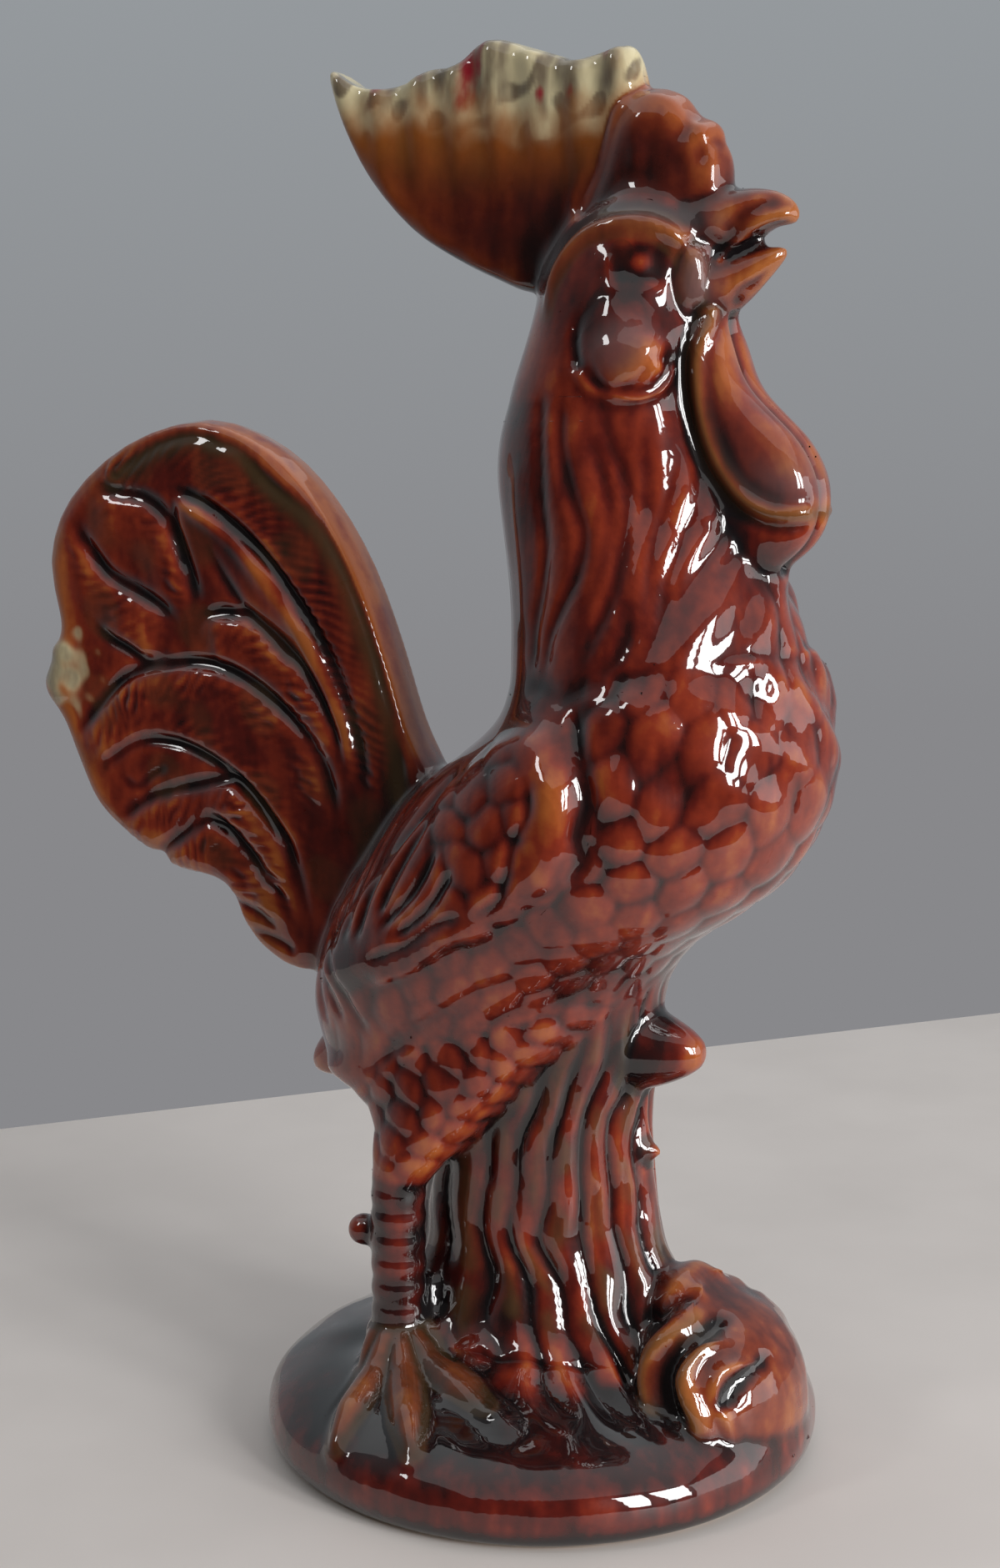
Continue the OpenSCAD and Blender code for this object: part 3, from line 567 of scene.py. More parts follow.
    def cut_out(self, node: str) -> tuple[Array, Array, Array]:
        """One piece cut out of the melted skin.

        Args:
            node: name of the clay piece.

        Returns:
            The points of the piece, its four-sided faces, and how far each point lies past the seam.
        """
        low, cells = self.parts[node]
        window = self._window(low, cells)
        index = list(self.parts).index(node)
        others = np.where(self.owner[window] == index, self.second[window], self.first[window])
        past = 0.5 * (cells - others)
        solid = np.maximum(np.maximum(self.shell[window], past - self.overlap), cells - self.reach)
        grid = vdb.FloatGrid()
        grid.background = self.far
        grid.transform = self.turn
        grid.copyFromArray(np.ascontiguousarray(solid, np.float32), ijk=tuple(int(v) for v in low))
        points, faces = grid.convertToQuads(isovalue=0.0)
        points = np.asarray(points, float)
        faces = np.asarray(faces, np.int64)
        return points, faces, self._lookup(past, low, points)


@dataclass
class Skin:
    """Every point of every glazed skin, with what is known about it."""

    clay: Clay
    points: Array
    normals: Array
    touch: float = 0.6
    near: dict[str, Array] = field(default_factory=dict)

    def __post_init__(self) -> None:
        """Name the coordinates that the reliefs use."""
        self.x, self.y, self.z = self.points.T
        self.side = np.abs(self.y)
        self.flatness = np.abs(self.normals[:, 1])

    def on(self, *nodes: str, fade: float = 2.0) -> Array:
        """Weight that is 1 on the named clay pieces and falls to 0 beside them.

        Args:
            nodes: names of the clay pieces.
            fade: how far beside them the weight falls.

        Returns:
            One weight for each point.
        """
        for node in nodes:
            if node not in self.near:
                self.near[node] = self.clay.distance(node, self.points)
        near = np.min([self.near[node] for node in nodes], axis=0)
        return 1.0 - ramp(near, self.touch, self.touch + fade)

    def blob(self, x: float, z: float, length: float, height: float) -> Array:
        """Distance from a point seen from the side, counted in the half axes of an oval."""
        return np.hypot((self.x - x) / length, (self.z - z) / height)

    def blank(self) -> Array:
        """A zero for each point."""
        return np.zeros(len(self.points))

    def gap(self, line: Points, *nodes: str) -> Array:
        """Distance from a drawn line, on some clay pieces.

        Args:
            line: the points that the line was drawn through.
            nodes: names of the clay pieces.

        Returns:
            The gap, positive on the right of the line as drawn, and far off on other pieces.
        """
        near = np.flatnonzero(self.on(*nodes) > 0.0)
        made = np.full(len(self.points), FAR_OFF)
        made[near] = trace(smooth_line(line), self.x[near], self.z[near])[1]
        return made


def corner_normals(points: Array, faces: Array) -> Array:
    """Unit normals of points, from the four-sided faces around them.

    Args:
        points: the points.
        faces: the faces, four point numbers each.

    Returns:
        One unit normal for each point.
    """
    a, b, c, d = (points[faces[:, i]] for i in range(4))
    flat = np.cross(c - a, d - b)
    made = np.zeros(points.shape)
    for axis in range(3):
        for corner in range(4):
            made[:, axis] += np.bincount(faces[:, corner], flat[:, axis], len(points))
    return made / np.maximum(np.linalg.norm(made, axis=1, keepdims=True), 1e-9)


def spread_out(values: Array, faces: Array, rounds: int) -> Array:
    """Values of points averaged with their neighbours.

    Args:
        values: one value for each point.
        faces: the faces, four point numbers each.
        rounds: how many times to average.

    Returns:
        The averaged values.
    """
    a = faces.ravel()
    b = np.roll(faces, -1, axis=1).ravel()
    count = np.bincount(a, minlength=len(values)) + np.bincount(b, minlength=len(values))
    for _ in range(rounds):
        total = np.bincount(a, values[b], len(values)) + np.bincount(b, values[a], len(values))
        values = 0.5 * values + 0.5 * total / np.maximum(count, 1)
    return values


def linear(colour: Colour) -> tuple[float, float, float, float]:
    """Screen colour from 0 to 255 as the shader's own numbers.

    Args:
        colour: red, green and blue on the screen.

    Returns:
        Red, green, blue and an opaque alpha, from 0 to 1.
    """
    shares = [c / 255.0 for c in colour]
    red, green, blue = (s / 12.92 if s <= 0.04045 else ((s + 0.055) / 1.055) ** 2.4 for s in shares)
    return red, green, blue, 1.0


class NodePad:
    """Lays out the nodes of one material."""

    def __init__(self, name: str) -> None:
        """Start a material with a shader and an output.

        Args:
            name: name of the material.
        """
        self.material = bpy.data.materials.new(name)
        self.material.use_nodes = True
        self.tree = self.material.node_tree
        self.shader = self.tree.nodes["Principled BSDF"]

    def add(self, kind: str, **settings: object) -> bpy.types.Node:
        """A new node with some of its settings.

        Args:
            kind: type of the node.
            settings: values of its properties, by their names.

        Returns:
            The node.
        """
        node = self.tree.nodes.new(kind)
        for name, value in settings.items():
            setattr(node, name, value)
        return node

    def join(self, out: Socket, to: Socket) -> None:
        """Link two sockets."""
        self.tree.links.new(out, to)

    def feed(self, socket: Socket, value: object) -> None:
        """Link a socket, or set its value.

        Args:
            socket: where the value goes.
            value: another socket, or a constant.
        """
        if isinstance(value, Socket):
            self.join(value, socket)
        else:
            socket.default_value = value

    def attribute(self, name: str) -> Socket:
        """A number that each point of the mesh carries."""
        return self.add("ShaderNodeAttribute", attribute_name=name).outputs["Fac"]

    def math(self, kind: str, a: object, b: object = 0.0, clamp: bool = False) -> Socket:
        """Reckon with two sockets or numbers.

        Args:
            kind: name of the operation.
            a: first socket or number.
            b: second socket or number.
            clamp: whether the result stays between 0 and 1.

        Returns:
            The result.
        """
        node = self.add("ShaderNodeMath", operation=kind, use_clamp=clamp)
        self.feed(node.inputs[0], a)
        self.feed(node.inputs[1], b)
        return node.outputs[0]

    def scaled(self, value: Socket, by: float, plus: float) -> Socket:
        """A socket times one number plus another.

        Args:
            value: the socket.
            by: the factor.
            plus: what is added.

        Returns:
            The result.
        """
        node = self.add("ShaderNodeMath", operation="MULTIPLY_ADD")
        self.join(value, node.inputs[0])
        node.inputs[1].default_value = by
        node.inputs[2].default_value = plus
        return node.outputs[0]

    def noise(self, pitch: float, stretch: Triple = (1.0, 1.0, 1.0),
              detail: float = 3.0) -> Socket:
        """Soft patches of noise.

        Args:
            pitch: about the size of a patch, in millimetres.
            stretch: how much longer it is along each axis.
            detail: how many finer layers there are.

        Returns:
            A number around a half.
        """
        place = self.add("ShaderNodeTexCoord").outputs["Object"]
        mapping = self.add("ShaderNodeMapping")
        mapping.inputs["Scale"].default_value = [1.0 / (pitch * MM * s) for s in stretch]
        self.join(place, mapping.inputs["Vector"])
        node = self.add("ShaderNodeTexNoise")
        node.inputs["Scale"].default_value = 1.0
        node.inputs["Detail"].default_value = detail
        self.join(mapping.outputs["Vector"], node.inputs["Vector"])
        return node.outputs["Fac"]

    def remap(self, value: Socket, low: float, high: float,
              to: tuple[float, float] = (0.0, 1.0)) -> Socket:
        """Move a range to another one, without leaving it.

        Args:
            value: the socket.
            low: value that comes out as the lower end.
            high: value that comes out as the upper end.
            to: both ends of the new range.

        Returns:
            The result.
        """
        node = self.add("ShaderNodeMapRange", interpolation_type="SMOOTHSTEP")
        self.join(value, node.inputs["Value"])
        for name, number in zip(("From Min", "From Max", "To Min", "To Max"), (low, high, *to)):
            node.inputs[name].default_value = number
        return node.outputs["Result"]

    def shades(self, value: Socket, stops: Sequence[tuple[float, Colour]]) -> Socket:
        """Colours along a range of numbers.

        Args:
            value: the socket that picks the colour.
            stops: places from 0 to 1 with their colours.

        Returns:
            The colour.
        """
        node = self.add("ShaderNodeValToRGB")
        elements = node.color_ramp.elements
        while len(elements) < len(stops):
            elements.new(1.0)
        for element, (place, colour) in zip(elements, stops):
            element.position = place
            element.color = linear(colour)
        self.join(value, node.inputs["Fac"])
        return node.outputs["Color"]

    def mix(self, share: Socket, a: object, b: object) -> Socket:
        """Mix two colours.

        Args:
            share: how much of the second colour.
            a: first colour or socket.
            b: second colour or socket.

        Returns:
            The mixed colour.
        """
        node = self.add("ShaderNodeMix", data_type="RGBA")
        self.feed(node.inputs[0], share)
        self.feed(node.inputs[6], a)
        self.feed(node.inputs[7], b)
        return node.outputs[2]


@dataclass(frozen=True)
class Glaze:
    """A transparent coloured glaze over pale clay, with a cream one run over it in places."""

    name: str
    thin: Colour
    light: Colour
    body: Colour
    deep: Colour
    pooled: Colour
    honey: Colour = (166, 98, 38)
    moss: Colour = (92, 70, 42)
    # Painted reflection: this pinkish-grey colour is a veil laid over the glaze where the glossy skin should
    # mirror pale surroundings.
    reflection_veil: Colour = (112, 94, 94)
    cream: Colour = (218, 205, 164)
    drip: Colour = (112, 98, 80)
    berry: Colour = (140, 24, 40)
    bare: Colour = (196, 170, 140)
    roughness: float = 0.35
    under_gloss: float = 0.08
    coat_roughness: float = 0.02
    coat_ior: float = 1.68
    ripple: float = 0.06
    ripple_strength: float = 0.4
    ripple_pitch: float = 4.5

    def under(self, pad: NodePad) -> Socket:
        """Colour of the coloured glaze by how thick it lies.

        Args:
            pad: where the nodes are laid out.

        Returns:
            The colour.
        """
        patches = pad.scaled(pad.noise(13.0, (1.0, 1.0, 1.6), 2.0), 0.7, -0.35)
        specks = pad.scaled(pad.noise(1.9, detail=3.0), 0.2, -0.1)
        runs = pad.scaled(pad.noise(3.4, (1.0, 1.0, 3.2), 1.0), 0.45, -0.22)
        pool = pad.scaled(pad.attribute("pool"), 0.5, 0.5)
        thick = pad.math("ADD", pad.math("ADD", pool, patches), pad.math("ADD", specks, runs), clamp=True)
        return pad.shades(thick, [(0.0, self.thin), (0.27, self.light), (0.5, self.body), (0.72, self.deep),
                                  (0.94, self.pooled)])

    def over(self, pad: NodePad, under: Socket) -> Socket:
        """Honey, cream, grey and red runs over the coloured glaze, an olive cast and a painted reflection
        veil.

        Args:
            pad: where the nodes are laid out.
            under: colour of the glaze below.

        Returns:
            The colour.
        """
        edge = pad.scaled(pad.noise(3.6, (1.0, 1.0, 1.8)), 0.7, -0.35)
        streak = pad.scaled(pad.noise(3.2, (1.0, 1.0, 2.4), 2.0), 0.8, -0.4)
        uneven = pad.scaled(pad.noise(5.0, (1.0, 1.0, 1.6)), 1.2, 0.4)
        share = pad.remap(pad.math("MULTIPLY", pad.attribute("cream"), uneven), 0.06, 0.95)
        grey = pad.remap(pad.math("ADD", pad.attribute("drip"), streak), 0.1, 0.95)
        red = pad.remap(pad.math("ADD", pad.attribute("berry"), edge), 0.35, 0.85)
        top = pad.mix(red, pad.mix(grey, linear(self.cream), linear(self.drip)), linear(self.berry))
        honey = pad.math("ADD", pad.attribute("honey"), pad.math("MULTIPLY", edge, pad.attribute("honey")))
        base = pad.mix(honey, pad.mix(pad.attribute("moss"), under, linear(self.moss)), linear(self.honey))
        # Painted reflection: the pinkish-grey veil is mixed into the colour by each point's veil share.
        veiled = pad.mix(pad.attribute("reflection_veil"), base, linear(self.reflection_veil))
        return pad.mix(share, veiled, top)

    def material(self) -> bpy.types.Material:
        """The finish as a material, with bare clay where the mesh says so.

        Returns:
            The material.
        """
        pad = NodePad(self.name)
        bare = pad.attribute("bare")
        colour = pad.mix(bare, self.over(pad, self.under(pad)), linear(self.bare))
        pad.join(colour, pad.shader.inputs["Base Color"])
        dull = pad.math("MULTIPLY_ADD", bare, 0.6)
        wear = pad.remap(pad.noise(9.0), 0.3, 0.7, (0.7 * self.roughness, 1.3 * self.roughness))
        pad.join(wear, dull.node.inputs[2])
        pad.join(dull, pad.shader.inputs["Roughness"])
        pad.join(pad.math("SUBTRACT", 1.0, bare), pad.shader.inputs["Coat Weight"])
        pad.shader.inputs["Specular IOR Level"].default_value = self.under_gloss
        pad.shader.inputs["Coat Roughness"].default_value = self.coat_roughness
        pad.shader.inputs["Coat IOR"].default_value = self.coat_ior
        bump = pad.add("ShaderNodeBump")
        bump.inputs["Strength"].default_value = self.ripple_strength
        bump.inputs["Distance"].default_value = self.ripple * MM
        pad.join(pad.noise(self.ripple_pitch, detail=2.0), bump.inputs["Height"])
        pad.join(bump.outputs["Normal"], pad.shader.inputs["Normal"])
        pad.join(bump.outputs["Normal"], pad.shader.inputs["Coat Normal"])
        return pad.material


GLAZES = {glaze.name: glaze for glaze in (
    Glaze("brown_glaze", (176, 94, 44), (136, 48, 28), (92, 26, 19), (48, 16, 15), (17, 12, 14)),
    Glaze("amber_glaze", (170, 98, 48), (126, 52, 28), (84, 28, 19), (46, 17, 15), (17, 12, 14)),
    Glaze("cream_glaze", (136, 62, 28), (108, 42, 22), (78, 26, 18), (46, 17, 15), (20, 13, 15)),
    Glaze("dark_glaze", (158, 80, 40), (118, 46, 26), (80, 27, 20), (44, 17, 15), (17, 12, 14)),
)}


class SubAssembly(ABC):
    """Clay pieces that belong together, with the relief pressed into them."""

    @property
    @abstractmethod
    def nodes(self) -> tuple[str, ...]:
        """Names of the clay pieces."""

    @abstractmethod
    def relief(self, skin: Skin) -> Array:
        """Height pressed into the skin at each point."""

    def tint(self, skin: Skin) -> Array:
        """Extra thickness of glaze at each point, above 0 where it is darker."""
        return skin.blank()

    def runs(self, skin: Skin) -> dict[str, Array]:
        """Shares of the pale glazes at each point, by their names."""
        return {}


@dataclass
class Plinth(SubAssembly):
    """The round plinth: toe tips run over its dome, seen from above, with dark pools between."""

    rim_z: float = 8.0
    run_pitch: float = 6.0
    pool_r: float = 46.0
    tips: tuple[Points, ...] = (
        ((3.0, 38.0), (10.0, 41.6), (17.0, 45.5)),)
    pools: tuple[Points, ...] = (
        ((-29.0, 38.0), (-27.0, 52.0)),
        ((-20.0, 38.0), (-12.0, 56.0)),
        ((-9.0, 41.0), (5.0, 53.0)),
        ((-10.0, 31.0), (4.0, 35.0), (13.0, 40.0)),
        ((20.0, 24.0), (30.0, 40.0)),
        ((24.0, 14.0), (32.5, 27.7), (39.4, 33.0)))

    @property
    def nodes(self) -> tuple[str, ...]:
        """Names of the clay pieces."""
        return ("base_plinth",)

    def relief(self, skin: Skin) -> Array:
        """Soft waves on the dome with toe tips, none on the foot.

        Args:
            skin: every point of the glazed skins.

        Returns:
            Added height at each point.
        """
        dome = skin.on("base_plinth") * ramp(skin.z, 8.0, 12.0)
        lines = [Stroke(Cut.RIDGE, 1.6, 2.8, line, 7.0) for line in self.tips]
        soft = skin.on("base_plinth") * ramp(skin.z, 3.0, 8.0) * 0.1 * wander(skin.points, 19.0)
        return dome * pressed(lines, skin.x, skin.side) + soft

    def tint(self, skin: Skin) -> Array:
        """A dark foot line, partly painted shade, faint runs on the rim and pools around the clump and the
        toes.

        Args:
            skin: every point of the glazed skins.

        Returns:
            Extra thickness at each point.
        """
        away = np.hypot(skin.x, skin.y)
        turn = np.arctan2(skin.y, skin.x)
        ring = np.stack([np.cos(turn), np.sin(turn), 0.03 * skin.z / self.rim_z], axis=1) * self.pool_r
        runs = 0.12 * wander(ring, self.run_pitch) * bell(skin.z - self.rim_z - 1.0, 6.0)
        # Painted shade, partly: the dark band low on the rim stands for shade where the plinth meets the
        # table as well as for glaze gathered at the foot.
        foot = 1.3 * (1.0 - ramp(skin.z, 1.0, 5.5))
        pool = 0.5 * (1.0 - ramp(away, self.pool_r - 10.0, self.pool_r + 8.0)) * ramp(skin.z, 9.0, 14.0)
        dark = [Stroke(Cut.RIDGE, 0.8, 2.8, line, 3.0) for line in self.pools]
        return skin.on("base_plinth") * (0.55 + runs + foot + pool + pressed(dark, skin.x, skin.side))


@dataclass
class Clump(SubAssembly):
    """The fluted clump under the belly, its two stubs and the curled leaf."""

    heights: tuple[float, ...] = (10.0, 24.0, 42.0, 60.0, 79.0, 98.0)
    middles: tuple[float, ...] = (0.0, -1.0, 0.0, 0.0, 4.0, 13.0)
    half_lengths: tuple[float, ...] = (36.0, 34.5, 29.5, 26.0, 20.6, 13.5)
    half_widths: tuple[float, ...] = (27.0, 25.0, 20.0, 19.0, 18.0, 16.0)
    ridges: tuple[Points, ...] = (
        ((-5, 14), (-6, 24), (-8, 30), (-10, 40), (-11.5, 50), (-10, 60), (-6, 75), (0, 90)),
        ((12, 14), (9, 22), (4.5, 32), (1.5, 40), (-0.5, 50), (-2.5, 58), (-0.5, 68), (2.5, 80), (8, 92)),
        ((20, 14), (15.5, 22), (12.5, 30), (9.5, 38), (6.5, 48), (5.5, 60), (7.5, 72), (10.5, 84),
         (14, 94)),
        ((26, 14), (22, 24), (18.5, 34), (15.5, 42), (12.5, 50), (12.5, 60), (13.5, 72), (16.5, 85),
         (19, 95)),
        ((31, 14), (27, 22), (23.5, 32), (20.5, 42), (18.5, 52), (18.5, 64), (19.5, 76), (22.5, 88),
         (24, 96)))
    spacing: float = 0.38
    blade_height: float = 1.35
    fade: tuple[float, float] = (1.15, 1.75)
    lips: tuple[Points, ...] = (
        ((39.8, 11.8), (37.3, 16.8), (34.4, 21.1), (32.3, 25.2), (32.6, 29.1), (35.4, 32.7), (39.9, 35.6),
         (44.0, 38.4)),
        ((47.1, 15.4), (45.0, 20.5), (42.1, 24.7), (42.1, 28.8), (44.8, 32.8), (48.2, 34.4)))
    hollows: tuple[Points, ...] = (
        ((42.2, 17.0), (39.7, 22.5), (38.3, 27.0), (40.3, 31.5), (44.4, 35.0), (48.5, 37.5)),
        ((50.5, 20.5), (51.0, 24.5), (53.4, 27.6), (57.8, 30.2)),
        ((28.4, 31.6), (34.0, 36.8), (38.9, 40.1), (43.8, 42.4)))

    @property
    def nodes(self) -> tuple[str, ...]:
        """Names of the clay pieces."""
        return ("grass_tuft", "upper_knot", "lower_knot", "leaf_scroll")

    def _blades(self, x: Array, side: Array, z: Array) -> Array:
        """Running number of the nearest blade, counted from the rear, with parts of one between two.

        Args:
            x: place of each point along the rooster.
            side: distance of each point from the middle plane.
            z: height of each point over the table.

        Returns:
            A whole number on a crest.
        """
        middle = np.interp(z, self.heights, self.middles)
        half = np.interp(z, self.heights, self.half_lengths)
        turn = np.arctan2(side / np.interp(z, self.heights, self.half_widths), (x - middle) / half)
        crests = []
        for ridge in self.ridges:
            ridge_x, ridge_z = np.array(ridge, float).T
            crests.append(np.arccos(np.clip((np.interp(z, ridge_z, ridge_x) - middle) / half, -0.98, 0.98)))
        number = 0.0 - (turn - crests[0]) / self.spacing
        for index, (a, b) in enumerate(zip(crests, crests[1:])):
            number = np.where(turn < a, index + (a - turn) / np.maximum(a - b, 0.05), number)
        last = len(crests) - 1
        return np.where(turn < crests[-1], last + (crests[-1] - turn) / self.spacing, number)

    def _flutes(self, skin: Skin) -> tuple[Array, Array, Array]:
        """Blades of the clump and of the dome around it.

        Args:
            skin: every point of the glazed skins.

        Returns:
            The numbers of the points there, the height of the blades from 0 to 1, and their weight.
        """
        others = skin.on("leaf_scroll", *both("foot", "shank", "spur"))
        low = ramp(skin.z, 6.0, 9.0) * (1.0 - ramp(skin.z, 40.0, 48.0))
        gate = np.maximum(skin.on("grass_tuft", "base_plinth"), low) * (1.0 - others)
        near = np.flatnonzero((gate > 0.0) & (skin.z > 6.0) & (skin.z < 120.0))
        x, side, z = skin.x[near], skin.side[near], skin.z[near]
        half = np.interp(z, self.heights, self.half_lengths)
        out = np.hypot((x - np.interp(z, self.heights, self.middles)) / half,
                       side / np.interp(z, self.heights, self.half_widths))
        flat = 1.0 - ramp(z, 26.0, 34.0)
        weight = gate[near] * (1.0 - flat * ramp(out, *self.fade)) * (1.0 - flat * ramp(-x, 16.0, 28.0))
        high = ramp(z, 17.0, 30.0)
        sway = (0.05 + 0.11 * high) * wander(skin.points[near], 26.0, 1.0)
        number = self._blades(x, side, z) + 0.5 + sway
        split = 0.22 * ramp(wander(skin.points[near], 33.0, 4.0), 0.1, 0.7)
        sharp = furrows(number, 1.0) * (1.0 - split * (1.0 - furrows(2.0 * number + 0.1, 0.9)))
        return near, furrows(number, 2.0) + high * (sharp - furrows(number, 2.0)), weight

    def _leaf(self, skin: Skin) -> tuple[Array, Array]:
        """The folds of the leaf.

        Args:
            skin: every point of the glazed skins.

        Returns:
            The lips and the hollows, each from 0 to 1.
        """
        shown = ramp(skin.side, 5.0, 11.0) * (1.0 - 0.7 * ramp(skin.y, -2.0, 4.0))
        gate = skin.on("leaf_scroll", fade=1.0) * shown
        lips = [Stroke(Cut.RIDGE, 1.0, 1.5, line, 3.0) for line in self.lips]
        hollows = [Stroke(Cut.RIDGE, 1.0, 1.9, line, 3.0) for line in self.hollows]
        return gate * pressed(lips, skin.x, skin.z), gate * pressed(hollows, skin.x, skin.z)

    def relief(self, skin: Skin) -> Array:
        """Wavy blades up the clump and out over the dome, some of them split and some hardly raised.

        Args:
            skin: every point of the glazed skins.

        Returns:
            Added height at each point.
        """
        near, blades, weight = self._flutes(skin)
        uneven = 1.0 + 0.35 * wander(skin.points[near], 30.0, 2.0)
        made = skin.blank()
        root = 1.0 + 0.7 * (1.0 - ramp(skin.z[near], 18.0, 32.0))
        made[near] = (blades - 0.6) * uneven * self.blade_height * weight * root
        lips, hollows = self._leaf(skin)
        brow = -4.2 * bell(skin.blob(47.0, 44.0, 9.5, 8.5), 1.0) * skin.on("leaf_scroll")
        stub = 0.6 * skin.on("upper_knot", fade=1.0) * ramp(skin.x, 23.0, 31.0)
        return made + 0.8 * lips - 1.3 * hollows + brow + stub

    def tint(self, skin: Skin) -> Array:
        """Dark glaze near the foot of the clump, on the stubs and in the hollows of the leaf.

        Args:
            skin: every point of the glazed skins.

        Returns:
            Extra thickness at each point.
        """
        low = 1.0 - ramp(skin.z, 24.0, 46.0)
        stubs = skin.on("upper_knot", "lower_knot", fade=1.0) * (0.65 + 0.35 * wander(skin.points, 14.0))
        near, blades, weight = self._flutes(skin)
        roots = skin.blank()
        roots[near] = (0.4 - blades) * weight * (1.0 - ramp(skin.z[near], 20.0, 34.0))
        lips, hollows = self._leaf(skin)
        leaf = -0.1 * skin.on("leaf_scroll", fade=1.0) + 1.0 * hollows - 0.3 * lips
        return skin.on("grass_tuft") * (0.3 * low + 0.15) + stubs + leaf + roots

    def runs(self, skin: Skin) -> dict[str, Array]:
        """An olive cast on the crests of the blades and on the leaf.

        Args:
            skin: every point of the glazed skins.

        Returns:
            Shares from 0 to 1, by the names of the glazes.
        """
        near, blades, weight = self._flutes(skin)
        made = skin.blank()
        made[near] = 0.55 * weight * blades ** 3 * ramp(wander(skin.points[near], 14.0, 3.0), -0.6, 0.5)
        leaf = 0.6 * self._leaf(skin)[0]
        return {"moss": np.maximum(made * skin.on("grass_tuft"), leaf)}


@dataclass
class Legs(SubAssembly):
    """Both legs: toes, ringed shanks, spurs and scaled thighs."""

    leg_x: float = -22.0
    leg_y: float = 25.0
    scale_w: float = 7.6
    scale_l: float = 6.0
    toe_first: float = 0.035
    toe_step: float = 0.525
    hem: Points = ((-34.0, 80.0), (-22.0, 89.5), (-14.0, 95.5), (-6.0, 101.0), (2.0, 106.0),
                   (10.0, 110.0))

    @property
    def nodes(self) -> tuple[str, ...]:
        """Names of the clay pieces."""
        return both("foot", "shank", "spur", "thigh")

    def _plates(self, skin: Skin) -> Array:
        """Rounded scales on the thighs.

        Args:
            skin: every point of the glazed skins.

        Returns:
            Height at each point, below 0 in the valleys.
        """
        hem_z = np.interp(skin.x, *np.array(self.hem).T)
        below = ramp(hem_z - skin.z, 1.0, 4.0) * ramp(skin.z, 60.0, 68.0)
        warp = 1.2 * wander(skin.points, 22.0)
        across = skin.x + 0.35 * skin.z + warp
        down = -skin.z + 0.3 * skin.x + warp
        plates = bubbles(across, down, self.scale_w, self.scale_l)
        return skin.on(*both("thigh")) * below * (plates - 0.6)

    def relief(self, skin: Skin) -> Array:
        """Scales on the thighs and ridges on the toes.

        Args:
            skin: every point of the glazed skins.

        Returns:
            Added height at each point.
        """
        foot = skin.on(*both("foot"))
        bearing = np.arctan2(skin.x - self.leg_x, skin.side - self.leg_y)
        away = np.hypot(skin.x - self.leg_x, skin.side - self.leg_y)
        ridges = furrows((bearing - self.toe_first) / self.toe_step + 0.5) - 0.6
        hem = Stroke(Cut.GROOVE, 0.6, 1.8, self.hem, 14.0).press(skin.x, skin.z)
        on_hem = ramp(skin.side, 12.0, 20.0) * skin.on("body_shell", *both("thigh"))
        toes = 1.1 * foot * ridges * ramp(away, 5.0, 10.0)
        return 0.85 * self._plates(skin) + toes + hem * on_hem

    def tint(self, skin: Skin) -> Array:
        """Thicker glaze down the shanks and over the feet.

        Args:
            skin: every point of the glazed skins.

        Returns:
            Extra thickness at each point.
        """
        uneven = 0.8 + 0.3 * wander(skin.points, 12.0)
        shank = skin.on(*both("shank", "spur"))
        foot = skin.on(*both("foot"))
        return np.maximum(1.15 * shank, 0.35 * foot) * uneven - 0.45 * self._plates(skin)

    def runs(self, skin: Skin) -> dict[str, Array]:
        """An olive cast on the toes."""
        return {"moss": 0.35 * skin.on(*both("foot"), fade=1.0)}


